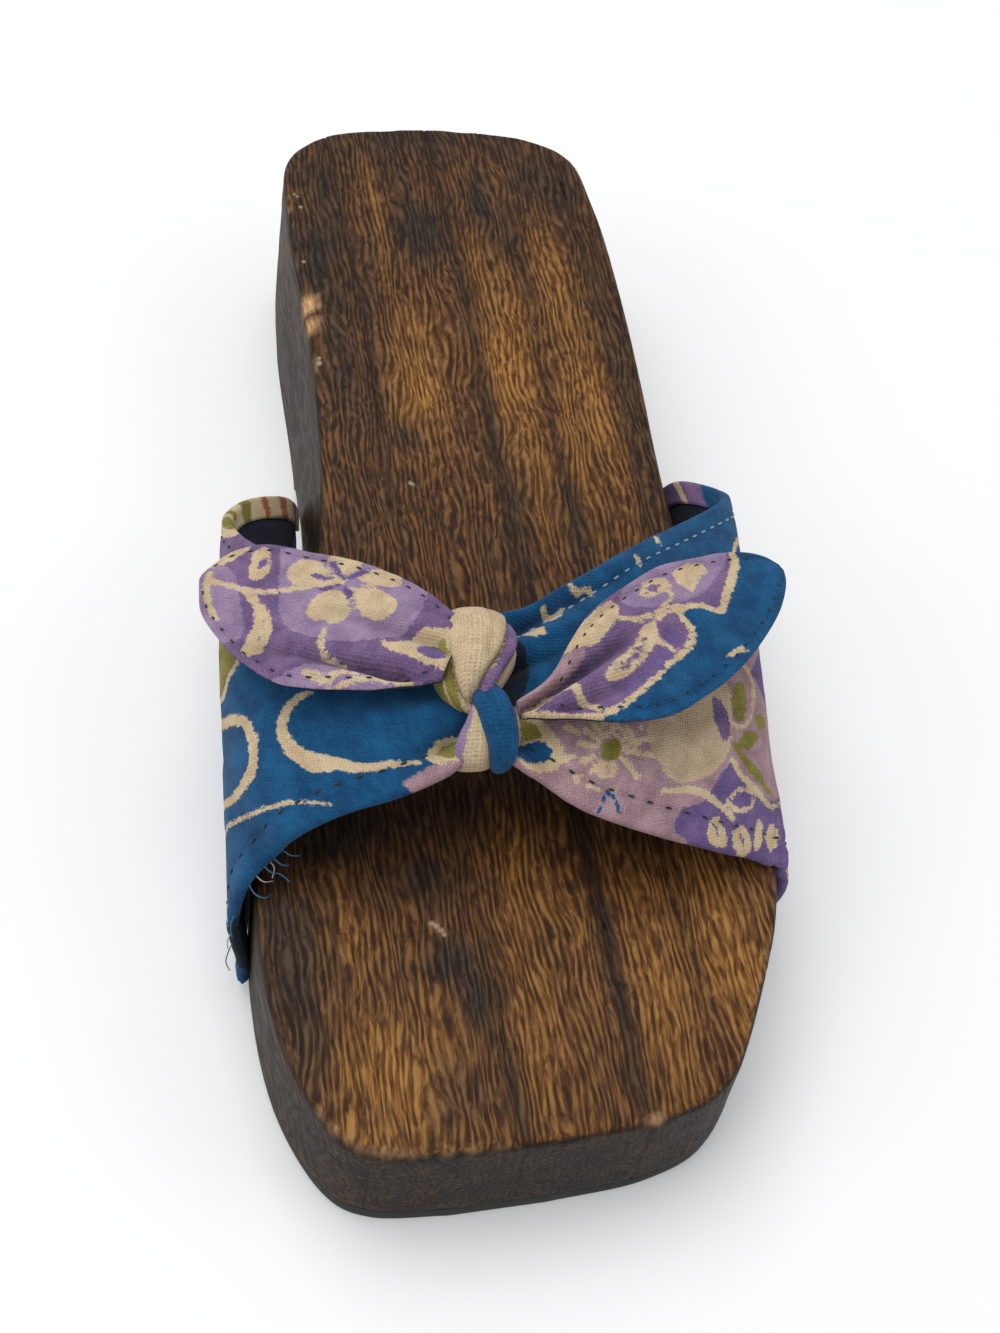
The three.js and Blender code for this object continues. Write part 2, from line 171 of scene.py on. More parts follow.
# The foot bed's outline, toe to heel: left edge, then right edge.
BED_LEFT = [
    (-26.0, -0.7), (-40.0, 0.9), (-45.8, 4.4), (-52.9, 19.0), (-55.6, 42.0), (-52.8, 68.0),
    (-42.8, 100.0), (-35.0, 132.0), (-32.9, 168.0), (-34.0, 212.0), (-31.6, 230.5),
    (-22.5, 238.6), (-4.0, 241.0),
]
BED_RIGHT = [
    (-10.0, -0.5), (9.2, 1.3), (20.0, 5.8), (29.4, 20.0), (38.6, 42.0), (41.0, 68.0),
    (39.6, 100.0), (37.2, 132.0), (37.5, 168.0), (36.5, 212.0), (33.7, 230.0),
    (23.6, 237.2), (3.0, 240.9),
]

# Where two boards meet: x at the toe and at the heel.
BOARD_SEAMS = [(-41.0, -47.0), (-16.0, -22.5), (5.6, 1.0), (20.2, 13.5), (33.0, 29.8)]

# Patches: x, y, reach across, reach along, strength.
SCORCHED = [
    (0, 242, 60, 20, 0.8), (-28, 200, 9, 16, 0.95), (-26, 222, 9, 18, 0.75), (-5, 205, 7, 11, 1.0),
    (10, 213, 5, 14, 0.95), (26, 218, 10, 18, 0.8), (-6, 226, 8, 12, 0.6), (-26, 168, 6, 24, 0.7),
    (-24, 186, 6, 12, 0.85), (-15, 149, 5, 5, 0.7), (34, 165, 4.5, 60, 0.65),
    (1.5, 180, 2.2, 28, 0.35), (2.6, 150, 2.2, 16, 0.5), (4.8, 126, 2.4, 18, 0.6),
    (14.3, 206, 2.0, 20, 0.6), (16.3, 140, 1.8, 26, 0.25), (16.5, 126, 2.2, 14, 0.8),
    (-20.8, 160, 1.8, 30, 0.6), (-30, 130, 6, 12, 0.35), (-4, 122, 7, 8, 0.3), (-40, 62, 18, 9, 1.0),
    (-22, 64, 10, 8, 0.8), (-28, 51, 9, 6, 0.85), (-2, 68, 12, 8, 0.6), (14, 60, 9, 7, 0.5),
    (-24, 33, 6, 4.4, 1.0), (-19.5, 26, 3.8, 7.0, 1.0), (-16.2, 8, 1.5, 10, 0.6),
    (-46.5, 42, 3.6, 12, 0.7), (4.0, 7, 1.3, 8, 0.85), (4.6, 22, 1.4, 9, 0.95),
    (5.2, 38, 1.5, 9, 0.95), (5.6, 52, 1.6, 9, 0.9), (5.4, 64, 2.6, 14, 0.85), (-51, 36, 5.5, 26, 0.9),
    (-42.5, 36, 1.3, 14, 0.6), (-25, 11, 6, 7, 0.35), (37, 36, 2.4, 12, 0.3),
]
GOLDEN = [
    (-36, 14, 12, 11, 1.0), (-41, 6, 8, 5, 0.9), (-30, 4, 8, 4, 0.6), (-11, 160, 6.5, 14, 0.95),
    (-10, 172, 7, 10, 0.65), (8.5, 168, 6.5, 30, 0.95), (9, 140, 5, 16, 0.65), (25.5, 158, 4, 20, 1.0),
    (22, 190, 3.4, 16, 0.95), (20, 150, 3, 30, 0.7), (28, 150, 3, 30, 0.65), (-10, 20, 7, 24, 0.55),
    (12, 24, 6, 24, 0.75), (28, 30, 9, 20, 1.0), (-40, 40, 7, 12, 0.5), (-7, 48, 7, 14, 0.55),
    (0, 36, 4, 20, 0.4), (-14, 212, 1.1, 26, 0.75), (14, 222, 1.7, 16, 0.5), (-30, 24, 8, 8, 0.35),
]


def clamp(value, low=0.0, high=1.0):
    """The value, held between low and high."""
    return max(low, min(high, value))


def mix(a, b, share):
    """From a to b by a share."""
    return a + (b - a) * share


def ease(value):
    """From 0 to 1 with a soft start and a soft end."""
    share = clamp(value)
    return share * share * (3 - 2 * share)


def curve_at(points, t):
    """A smooth line through points, tight at close ones; t is 0 at the first and 1 at the last."""
    place = t * (len(points) - 1)
    k = min(int(place), len(points) - 2)
    share = place - k
    p1, p2 = points[k], points[k + 1]
    p0 = points[k - 1] if k else 2 * p1 - p2
    p3 = points[k + 2] if k + 2 < len(points) else 2 * p2 - p1
    d0, d1, d2 = [max(1e-4, (b - a).length) ** 0.5 for a, b in ((p0, p1), (p1, p2), (p2, p3))]
    pull_1 = ((p1 - p0) / d0 - (p2 - p0) / (d0 + d1) + (p2 - p1) / d1) * d1
    pull_2 = ((p2 - p1) / d1 - (p3 - p1) / (d1 + d2) + (p3 - p2) / d2) * d1
    square, cube = share * share, share * share * share
    return (
        p1 * (2 * cube - 3 * square + 1) + pull_1 * (cube - 2 * square + share)
        + p2 * (3 * square - 2 * cube) + pull_2 * (cube - square)
    )


def bed_height(y):
    """The foot bed is level at the toe and at the heel, with a smooth rise between."""
    return mix(TOE_TOP, HEEL_TOP, ease((y - RISE_START) / (RISE_END - RISE_START)))


def underside_height(y):
    """The wood stands on the rubber, and is hollowed at the waist."""
    share = clamp((y - ARCH_START) / (ARCH_END - ARCH_START))
    return RUBBER + GAP + ARCH_HEIGHT * math.sin(math.pi * share) ** 2


def wall_lean(y):
    """The walls lean out most at the waist."""
    return mix(LEAN_ENDS, LEAN_WAIST, math.sin(math.pi * clamp((y - WAIST_START) / WAIST_LENGTH)) ** 2)


def crowded(t):
    """Spreads even steps so that they lie close together round the toe and the heel."""
    return t - CROWDING * math.sin(2 * math.pi * t) / (2 * math.pi)


def bed_edge(rows, t):
    """A place on one long edge of the foot bed."""
    return curve_at([Vector((x, y, 0.0)) for x, y in rows], crowded(t))


def outline_point(share):
    """The foot bed's outline, once round: up the left edge from the toe, and back down the right edge."""
    if share < 0.5:
        return bed_edge(BED_LEFT, 2 * share)
    return bed_edge(BED_RIGHT, 2 - 2 * share)


def strongest_patch(patches, x, y):
    """The strongest of the soft patches at a place."""
    strongest = 0.0
    for px, py, across, along, strength in patches:
        reach = ((x - px) / across) ** 2 + ((y - py) / along) ** 2
        strongest = max(strongest, strength * math.exp(-reach))
    return strongest


def shaped_slab(height):
    """A slab with the foot bed's outline, in millimetres from the toe, standing on z = 0."""
    maker = bmesh.new()
    circle = bmesh.ops.create_circle(maker, cap_ends=True, segments=OUTLINE_POINTS, radius=1.0)
    for k, vert in enumerate(circle["verts"]):
        vert.co = outline_point((k + 0.5) / OUTLINE_POINTS)
    bmesh.ops.recalc_face_normals(maker, faces=maker.faces)
    raised = bmesh.ops.extrude_face_region(maker, geom=maker.faces[:])
    top_verts = [part for part in raised["geom"] if isinstance(part, bmesh.types.BMVert)]
    bmesh.ops.translate(maker, verts=top_verts, vec=(0.0, 0.0, height))
    bmesh.ops.recalc_face_normals(maker, faces=maker.faces)
    return maker


def cut_through(maker, normal, places):
    """Cuts the whole mesh into strips by parallel planes, without taking anything away."""
    for place in places:
        everything = maker.verts[:] + maker.edges[:] + maker.faces[:]
        bmesh.ops.bisect_plane(maker, geom=everything, dist=1e-5, plane_co=place, plane_no=normal)


def flat_direction(vert):
    """Straight outward from a wall, level with the floor."""
    outward = Vector((vert.normal.x, vert.normal.y, 0.0))
    return outward.normalized() if outward.length > 1e-6 else outward


def in_frame(maker):
    """From millimetres on the shoe to metres in the frame."""
    bmesh.ops.translate(maker, verts=maker.verts, vec=SHOE_PLACE)
    bmesh.ops.scale(maker, verts=maker.verts, vec=(MM, MM, MM))
    return maker


SLAB_HEIGHT = 30.0
WALL_CUTS = 9
FOOT_BEVEL = 0.5  # on the wood's bottom edge
RIM = EDGE_ROUND + 1.0  # this much below the foot bed keeps its shape when the slab is bent
STEP_ALONG, STEP_ACROSS = 2.0, 2.1  # so fine that the patches can be painted on the mesh
SEAM_HALF, SEAM_DEPTH = 0.45, 0.22  # the joints are shallow grooves
UNEVEN = 0.16  # from brushing the soft grain out
sole_maker = shaped_slab(SLAB_HEIGHT)
upright = [e for e in sole_maker.edges if abs(e.verts[0].co.z - e.verts[1].co.z) > 1.0]
bmesh.ops.subdivide_edges(sole_maker, edges=upright, cuts=WALL_CUTS, use_grid_fill=True)
rim = [e for e in sole_maker.edges if min(v.co.z for v in e.verts) > SLAB_HEIGHT - 1e-4]
bmesh.ops.bevel(
    sole_maker, geom=rim, offset=EDGE_ROUND, offset_type="OFFSET", segments=5, profile=0.5,
    affect="EDGES", material=-1,
)
foot = [e for e in sole_maker.edges if max(v.co.z for v in e.verts) < 1e-4]
bmesh.ops.bevel(
    sole_maker, geom=foot, offset=FOOT_BEVEL, offset_type="OFFSET", segments=2, profile=0.5,
    affect="EDGES", material=-1,
)
sole_maker.normal_update()
for vert in sole_maker.verts:
    share = 1.0 - clamp(vert.co.z / (SLAB_HEIGHT - EDGE_ROUND))
    outward = flat_direction(vert)
    vert.co += outward * wall_lean(vert.co.y) * share if outward.length > 0.5 else Vector()
cut_through(sole_maker, (0.0, 1.0, 0.0), [(0.0, 1.0 + STEP_ALONG * k, 0.0) for k in range(121)])
for at_toe, at_heel in BOARD_SEAMS:
    square_to_seam = Vector((BED_LENGTH, at_toe - at_heel, 0.0)).normalized()
    cut_through(
        sole_maker, square_to_seam, [(at_toe + side, 0.0, 0.0) for side in (-SEAM_HALF, 0.0, SEAM_HALF)]
    )
cut_through(sole_maker, (1.0, 0.0, 0.0), [(-56.0 + STEP_ACROSS * k, 0.0, 0.0) for k in range(48)])


def past_seams(x, y):
    """How far a place lies to the right of each seam."""
    return [x - mix(toe, heel, y / BED_LENGTH) for toe, heel in BOARD_SEAMS]


for vert in sole_maker.verts:
    x, y, z = vert.co
    below_top = SLAB_HEIGHT - z
    top, under = bed_height(y), underside_height(y)
    if below_top <= RIM:
        vert.co.z = top - below_top
    else:
        vert.co.z = mix(top - RIM, under, (below_top - RIM) / (SLAB_HEIGHT - RIM))
    if min(abs(away) for away in past_seams(x, y)) < 0.1:
        vert.co -= vert.normal * SEAM_DEPTH

sole_maker.normal_update()
for vert in sole_maker.verts:
    # Brushing leaves the faces a little uneven, and wear has rounded the rim unevenly.
    place = vert.co * 0.09
    vert.co += vert.normal * UNEVEN * noise.noise(Vector((place.x * 3.0, place.y * 0.7, place.z * 3.0)))

# Knocks: x, y, z above or below the foot bed, reach, depth. Bare wood shows in them.
KNOCKS = [
    (-32.6, 184.0, -0.4, 2.2, 1.2), (-32.4, 178.5, -0.6, 1.8, 1.0), (-32.6, 168.0, -0.4, 1.1, 0.7),
    (-33.6, 195.8, -0.4, 1.0, 0.5), (-33.6, 217.0, -0.3, 1.0, 0.45), (-33.4, 212.8, -0.3, 0.9, 0.4),
    # The knocks along the toe's front rim lay a pale line on it: partly worn bare wood, partly a painted
    # highlight on the rounded rim.
    (6.4, 0.9, -0.4, 1.5, 0.9), (-45.0, 3.6, -0.2, 1.3, 0.5), (-41.0, 1.2, -0.2, 1.5, 0.6),
    (-36.5, 0.3, -0.2, 1.4, 0.5), (-32.5, -0.2, -0.2, 1.3, 0.55), (-49.0, 9.0, -0.3, 1.4, 0.4),
    (-47.2, 5.8, -0.2, 1.7, 0.4), (-43.0, 2.3, -0.2, 1.7, 0.38), (-38.8, 0.6, -0.2, 1.7, 0.42),
    (-34.5, 0.0, -0.2, 1.7, 0.38), (-29.0, -0.4, -0.2, 1.8, 0.36), (-24.5, -0.4, -0.2, 1.6, 0.34),
    (-19.5, -0.3, -0.2, 1.6, 0.3), (33.0, 29.0, -0.2, 1.4, 0.3), (-25.2, 41.0, 0.0, 0.7, 0.5),
    (-23.9, 39.6, 0.0, 0.7, 0.5),
]
KNOCK_DENT = 0.8
for x, y, z, reach, depth in KNOCKS:
    middle = Vector((x, y, bed_height(y) + z))
    for vert in sole_maker.verts:
        away = (vert.co - middle).length
        if away < 2 * reach:
            vert.co -= vert.normal * depth * math.exp(-((away / reach) ** 2)) * KNOCK_DENT

# Scorched, brushed paulownia: a satin face of wavy dark grain with golden wood between it,
# charcoal where the flame stayed, and ash-grey sawn sides. Grain lines are 1.2 mm apart.
paulownia = new_material("scorched_paulownia")
place = add_node(paulownia, "ShaderNodeTexCoord").outputs["Object"]
in_mm = add_node(paulownia, "ShaderNodeVectorMath", {0: place}, operation="SCALE", Scale=1000.0).outputs[0]
board = add_node(paulownia, "ShaderNodeAttribute", attribute_name="board").outputs["Fac"]
board_shift = add_node(paulownia, "ShaderNodeCombineXYZ", {"X": board, "Y": board, "Z": board}).outputs[0]
in_board = add_node(
    paulownia, "ShaderNodeVectorMath", {0: board_shift, 2: in_mm}, operation="MULTIPLY_ADD"
)
in_board.inputs[1].default_value = (31.0, 117.0, 53.0)
slow = add_node(
    paulownia, "ShaderNodeMapping", {"Vector": in_board.outputs[0]}, Scale=(0.11, 0.035, 0.11)
).outputs[0]
wander = add_node(paulownia, "ShaderNodeTexNoise", {"Vector": slow}, Scale=1.0, Detail=2.0)
sway = add_node(
    paulownia, "ShaderNodeVectorMath", {0: wander.outputs["Color"], 2: in_board.outputs[0]},
    operation="MULTIPLY_ADD",
)
sway.inputs[1].default_value = (7.0, 9.0, 7.0)
fleck_place = add_node(
    paulownia, "ShaderNodeMapping", {"Vector": sway.outputs[0]}, Scale=(1.45, 0.23, 1.45)
).outputs[0]
fleck = add_node(
    paulownia, "ShaderNodeTexNoise", {"Vector": fleck_place}, Scale=1.0, Detail=3.0, Roughness=0.5,
    Distortion=0.55,
).outputs["Fac"]
line_place = add_node(
    paulownia, "ShaderNodeMapping", {"Vector": sway.outputs[0]}, Scale=(1.0, 0.16, 1.0)
).outputs[0]
lines = add_node(
    paulownia, "ShaderNodeTexWave", {"Vector": line_place}, wave_type="BANDS", bands_direction="X",
    Scale=0.25, Distortion=5.0, Detail=2.0, Detail_Scale=1.1, Detail_Roughness=0.5,
).outputs["Fac"]
grain = add_node(
    paulownia, "ShaderNodeMapRange", {"Value": lines}, To_Min=-0.10, To_Max=0.10
).outputs[0]
grain = add_node(paulownia, "ShaderNodeMath", {0: fleck, 1: grain}, operation="ADD").outputs[0]
grain_colour = add_node(
    paulownia, "ShaderNodeValToRGB", {"Fac": grain},
    stops=[(0.31, "#2b190b"), (0.44, "#442812"), (0.55, "#5f3c1c"), (0.68, "#7d542a")],
).outputs["Color"]
golden = add_node(paulownia, "ShaderNodeAttribute", attribute_name="golden").outputs["Fac"]
golden_colour = add_node(
    paulownia, "ShaderNodeValToRGB", {"Fac": grain},
    stops=[(0.29, "#4c2c10"), (0.43, "#6d451b"), (0.54, "#8f5f28"), (0.67, "#b08040")],
).outputs["Color"]
face_colour = add_node(
    paulownia, "ShaderNodeMixRGB", {"Fac": golden, "Color1": grain_colour, "Color2": golden_colour}
).outputs["Color"]
scorch = add_node(paulownia, "ShaderNodeAttribute", attribute_name="scorch").outputs["Fac"]
cloud_place = add_node(
    paulownia, "ShaderNodeMapping", {"Vector": in_board.outputs[0]}, Scale=(0.16, 0.04, 0.16)
).outputs[0]
cloud = add_node(
    paulownia, "ShaderNodeTexNoise", {"Vector": cloud_place}, Scale=1.0, Detail=4.0, Roughness=0.6
).outputs["Fac"]
scorch_edge = add_node(
    paulownia, "ShaderNodeMapRange", {"Value": cloud}, From_Min=0.3, From_Max=0.7, To_Min=-0.24, To_Max=0.30
).outputs[0]
scorch_share = add_node(
    paulownia, "ShaderNodeMath", {0: scorch, 1: scorch_edge}, operation="ADD", use_clamp=True
).outputs[0]
char_colour = add_node(
    paulownia, "ShaderNodeValToRGB", {"Fac": grain},
    stops=[(0.34, "#1b140e"), (0.50, "#2a2018"), (0.68, "#403328")],
).outputs["Color"]
top_colour = add_node(
    paulownia, "ShaderNodeMixRGB", {"Fac": scorch_share, "Color1": face_colour, "Color2": char_colour}
).outputs["Color"]
side_place = add_node(
    paulownia, "ShaderNodeMapping", {"Vector": sway.outputs[0]}, Scale=(0.9, 0.09, 0.75)
).outputs[0]
side_streak = add_node(
    paulownia, "ShaderNodeTexNoise", {"Vector": side_place}, Scale=1.0, Detail=5.0, Roughness=0.65,
    Distortion=0.4,
).outputs["Fac"]
side_colour = add_node(
    paulownia, "ShaderNodeValToRGB", {"Fac": side_streak},
    stops=[(0.30, "#130a04"), (0.46, "#26180b"), (0.60, "#432d15"), (0.78, "#75532b")],
).outputs["Color"]
soot = add_node(
    paulownia, "ShaderNodeMapRange", {"Value": cloud}, From_Min=0.42, From_Max=0.58, To_Min=0.0, To_Max=0.75
).outputs[0]
side_colour = add_node(
    paulownia, "ShaderNodeMixRGB", {"Fac": soot, "Color1": side_colour}, Color2=linear("#16120d")
).outputs["Color"]
facing = add_node(paulownia, "ShaderNodeNewGeometry").outputs["Normal"]
facing_up = add_node(paulownia, "ShaderNodeSeparateXYZ", {0: facing}).outputs["Z"]
is_side = add_node(
    paulownia, "ShaderNodeMapRange", {"Value": facing_up}, From_Min=0.82, From_Max=0.55
).outputs[0]
wood_colour = add_node(
    paulownia, "ShaderNodeMixRGB", {"Fac": is_side, "Color1": top_colour, "Color2": side_colour}
).outputs["Color"]
seam = add_node(paulownia, "ShaderNodeAttribute", attribute_name="seam").outputs["Fac"]
wood_colour = add_node(
    paulownia, "ShaderNodeMixRGB", {"Fac": seam, "Color1": wood_colour}, Color2=linear("#24150c")
).outputs["Color"]
# Pale bare wood in the knocks; along the toe's front rim it is partly a painted highlight.
bare_wood_and_highlight = add_node(paulownia, "ShaderNodeAttribute", attribute_name="bare_wood_and_highlight").outputs["Fac"]
bare_and_highlight_colour = add_node(
    paulownia, "ShaderNodeValToRGB", {"Fac": fleck}, stops=[(0.35, "#a9784a"), (0.65, "#dbb083")]
).outputs["Color"]
wood_colour = add_node(
    paulownia, "ShaderNodeMixRGB", {"Fac": bare_wood_and_highlight, "Color1": wood_colour, "Color2": bare_and_highlight_colour}
).outputs["Color"]

# Small pale scratches and chips on the foot bed: x, y, reach.
PALE_MARKS = [
    (-25.4, 41.1, 0.45), (-24.6, 40.6, 0.5), (-23.9, 39.7, 0.45), (-23.5, 38.8, 0.35),
    (-31.5, 168.0, 0.55), (-31.3, 169.2, 0.35), (-31.6, 217.2, 0.3), (-31.2, 216.4, 0.25),
    (-30.7, 212.8, 0.3), (-31.8, 195.8, 0.3), (-16.0, 137.5, 0.3), (-15.5, 137.1, 0.2),
]
for x, y, reach in PALE_MARKS:
    spot = Vector((x, y, bed_height(y))) + SHOE_PLACE
    away = add_node(paulownia, "ShaderNodeVectorMath", {0: in_mm}, operation="DISTANCE")
    away.inputs[1].default_value = spot
    ragged = add_node(
        paulownia, "ShaderNodeMath", {0: away.outputs["Value"], 1: fleck}, operation="ADD"
    ).outputs[0]
    mark = add_node(
        paulownia, "ShaderNodeMapRange", {"Value": ragged}, From_Min=reach + 0.3, From_Max=reach + 0.8,
        To_Min=0.7, To_Max=0.0,
    ).outputs[0]
    wood_colour = add_node(
        paulownia, "ShaderNodeMixRGB", {"Fac": mark, "Color1": wood_colour}, Color2=linear("#b9a68c")
    ).outputs["Color"]
wood_rough = add_node(
    paulownia, "ShaderNodeMapRange", {"Value": grain}, From_Min=0.3, From_Max=0.7, To_Min=0.66, To_Max=0.48
).outputs[0]
wood_relief = add_node(
    paulownia, "ShaderNodeBump", {"Height": grain}, Strength=0.55, Distance=0.0006
).outputs["Normal"]
wood_shader = add_node(
    paulownia, "ShaderNodeBsdfPrincipled",
    {"Base Color": wood_colour, "Roughness": wood_rough, "Normal": wood_relief}, IOR=1.45,
    Specular_IOR_Level=0.24,
)
add_node(paulownia, "ShaderNodeOutputMaterial", {"Surface": wood_shader.outputs["BSDF"]})

wooden_sole = add_object("wooden_sole", in_frame(sole_maker), [paulownia])


def to_shoe(place):
    """A place in the frame, in metres, as millimetres from the toe."""
    return place / MM - SHOE_PLACE


def paint(target, name, value_at):
    """Stores a number at every vertex, worked out from its place on the shoe in millimetres."""
    layer = target.data.attributes.new(name, "FLOAT", "POINT")
    layer.data.foreach_set("value", [value_at(to_shoe(v.co)) for v in target.data.vertices])


BARE_AND_HIGHLIGHT_GAIN, BARE_AND_HIGHLIGHT_START = 1.6, 0.15


def bare_wood_and_highlight_at(place):
    """How much pale bare-wood colour the knocks lay on the scorched face: worn bare wood, and along the
    toe's front rim partly a painted highlight.
    """
    share = 0.0
    for x, y, z, reach, depth in KNOCKS:
        away = (place - Vector((x, y, bed_height(y) + z))).length
        share = max(share, clamp(BARE_AND_HIGHLIGHT_GAIN * depth * math.exp(-((away / reach) ** 2)) - BARE_AND_HIGHLIGHT_START))
    return share


paint(wooden_sole, "golden", lambda p: strongest_patch(GOLDEN, p.x, p.y))
paint(wooden_sole, "scorch", lambda p: strongest_patch(SCORCHED, p.x, p.y))
paint(wooden_sole, "bare_wood_and_highlight", bare_wood_and_highlight_at)


SEAM_SOOT = [(0.25, 0.8), (0.4, 1.0), (0.6, 1.3), (0.25, 1.0), (0.3, 0.9)]  # strength, reach
SOOT_LEVEL = 6.0  # this far below the foot bed the joints are cleaner
SIDE_SOOT = 0.3


def seam_shade(place):
    """Soot lies in the joints; it is thickest between the middle boards."""
    shade = 0.0
    for away, (strength, reach) in zip(past_seams(place.x, place.y), SEAM_SOOT):
        shade = max(shade, strength * math.exp(-((away / reach) ** 2)))
    return shade if place.z > bed_height(place.y) - SOOT_LEVEL else SIDE_SOOT * shade


paint(wooden_sole, "seam", seam_shade)
board_layer = wooden_sole.data.attributes.new("board", "FLOAT", "FACE")
board_of_face = []
for face in wooden_sole.data.polygons:
    middle = to_shoe(face.center)
    board_of_face.append(float(sum(away > 0.0 for away in past_seams(middle.x, middle.y))))
board_layer.data.foreach_set("value", board_of_face)
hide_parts("sole")
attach(wooden_sole, "root")

# ---- Rubber soles -------------------------------------------------------------------
# Two flat pads cut from 3.5 mm black rubber sheet, glued under the forefoot and the heel.
# The cut edge is a little rounded by walking.

RUBBER_INSET = 0.2  # the rubber stops just short of the wood's bottom edge
RUBBER_EDGE = 0.35
ARCH_OVERLAP = 1.6  # each pad reaches this far under the hollow waist
rubber = new_material("black_sheet_rubber")
rubber_place = add_node(rubber, "ShaderNodeTexCoord").outputs["Object"]
# Fine crumbs in the rubber, about 0.7 mm, give a dull, slightly mottled black.
crumbs = add_node(
    rubber, "ShaderNodeTexNoise", {"Vector": rubber_place}, Scale=1400.0, Detail=3.0
).outputs["Fac"]
dust = add_node(
    rubber, "ShaderNodeTexNoise", {"Vector": rubber_place}, Scale=90.0, Detail=4.0
).outputs["Fac"]
rubber_colour = add_node(
    rubber, "ShaderNodeValToRGB", {"Fac": dust},
    stops=[(0.35, "#141414"), (0.62, "#1d1c1b"), (0.8, "#34312e")],
).outputs["Color"]
rubber_relief = add_node(rubber, "ShaderNodeBump", {"Height": crumbs}, Strength=0.35, Distance=0.0002)
rubber_shader = add_node(
    rubber, "ShaderNodeBsdfPrincipled",
    {"Base Color": rubber_colour, "Normal": rubber_relief.outputs["Normal"]}, Roughness=0.72, IOR=1.52,
)
add_node(rubber, "ShaderNodeOutputMaterial", {"Surface": rubber_shader.outputs["BSDF"]})

for name, node_name, cut_at, is_front in [
    ("rubber_pad_front", "outsole_front", ARCH_START + ARCH_OVERLAP, True),
    ("rubber_pad_heel", "outsole_heel", ARCH_END - ARCH_OVERLAP, False),
]:
    pad_maker = shaped_slab(RUBBER)
    pad_maker.normal_update()
    for vert in pad_maker.verts:
        vert.co += flat_direction(vert) * (wall_lean(vert.co.y) - RUBBER_INSET)
    everything = pad_maker.verts[:] + pad_maker.edges[:] + pad_maker.faces[:]
    bmesh.ops.bisect_plane(
        pad_maker, geom=everything, plane_co=(0.0, cut_at, 0.0), plane_no=(0.0, 1.0, 0.0),
        clear_outer=is_front, clear_inner=not is_front,
    )
    open_edges = [e for e in pad_maker.edges if e.is_boundary]
    bmesh.ops.contextual_create(pad_maker, geom=open_edges)
    bmesh.ops.recalc_face_normals(pad_maker, faces=pad_maker.faces)
    bmesh.ops.bevel(
        pad_maker, geom=[e for e in pad_maker.edges if abs(e.calc_face_angle(0.0)) > 1.0],
        offset=RUBBER_EDGE, offset_type="OFFSET", segments=3, profile=0.5, affect="EDGES", material=-1,
    )
    pad = add_object(name, in_frame(pad_maker), [rubber])
    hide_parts(node_name)
    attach(pad, "root")

# ---- Strap --------------------------------------------------------------------------
# One wide band of printed cotton over a navy cotton lining, with a soft interlining. The
# cotton is turned in over the lining at both edges and stitched down; the ends go under
# the wood's bottom edge. In the middle the band is gathered hard by the knot.

STRAP_WALL = 2.0

# From the left end, low on the wood, over the foot to the right end: the rear edge, the
# front edge, how far the middle bows out, and how closely the band follows the wood.
STRAP = [
    ((-40.0, 149.0, 9.5), (-57.3, 44.5, 4.2), 0.0, 1.0),
    ((-42.5, 148.0, 17.0), (-59.2, 46.0, 12.0), 0.6, 0.6),
    ((-48.5, 141.0, 26.0), (-59.6, 48.0, 21.0), 1.2, 0.1),
    ((-53.4, 130.0, 34.0), (-56.6, 50.5, 29.5), 2.2, 0.0),
    ((-52.0, 119.0, 40.5), (-50.2, 53.0, 37.5), 3.2, 0.0),
    ((-46.0, 110.0, 44.5), (-41.5, 54.0, 43.6), 3.0, 0.0),
    ((-35.0, 102.0, 47.2), (-30.5, 54.5, 47.8), 2.4, 0.0),
    ((-25.0, 95.0, 48.8), (-22.5, 57.0, 49.2), 1.2, 0.0),
    ((-15.5, 87.5, 49.6), (-15.5, 61.0, 49.6), 0.6, 0.0),
    ((-5.5, 88.0, 50.6), (-8.0, 56.0, 48.6), 1.0, 0.0),
    ((6.0, 94.0, 51.0), (0.5, 50.0, 46.0), 1.8, 0.0),
    ((21.0, 104.5, 48.2), (12.5, 47.0, 41.2), 3.0, 0.0),
    ((34.5, 114.0, 43.6), (25.0, 45.8, 35.4), 3.6, 0.0),
    ((44.8, 122.5, 39.0), (35.0, 46.2, 29.2), 2.8, 0.0),
    ((49.0, 131.0, 33.0), (41.8, 46.4, 22.0), 0.6, 0.1),
    ((47.0, 141.0, 25.0), (44.2, 46.4, 14.0), 0.3, 0.55),
    ((42.0, 148.0, 9.5), (44.6, 46.6, 4.2), 0.0, 1.0),
]
STRAP_MIDDLE = 0.5  # where the knot sits, as a share of the way from end to end
STRAP_ALONG = 240
STRAP_ACROSS = 100
DIRECTION_STEP = 1 / 46

rear_line = [Vector(row[0]) for row in STRAP]
front_line = [Vector(row[1]) for row in STRAP]
fit_line = [Vector((row[2], row[3], 4.0 * k)) for k, row in enumerate(STRAP)]
WALL_STEPS = 58
left_wall = [bed_edge(BED_LEFT, k / WALL_STEPS) for k in range(WALL_STEPS + 1)]
right_wall = [bed_edge(BED_RIGHT, k / WALL_STEPS) for k in range(WALL_STEPS + 1)]


def line_x(points, y):
    """How far to the right a line of points lies at y."""
    for a, b in zip(points, points[1:]):
        if a.y <= y <= b.y:
            return mix(a.x, b.x, (y - a.y) / (b.y - a.y or 1.0))
    return points[-1].x


def wall_x(side, y, z):
    """Where the wood's leaning side is, at a place along it and at a height; side is -1 at the left."""
    under = underside_height(y)
    share = clamp((z - under) / (bed_height(y) - EDGE_ROUND - under))
    return line_x(left_wall if side < 0 else right_wall, y) + side * wall_lean(y) * (1 - share)


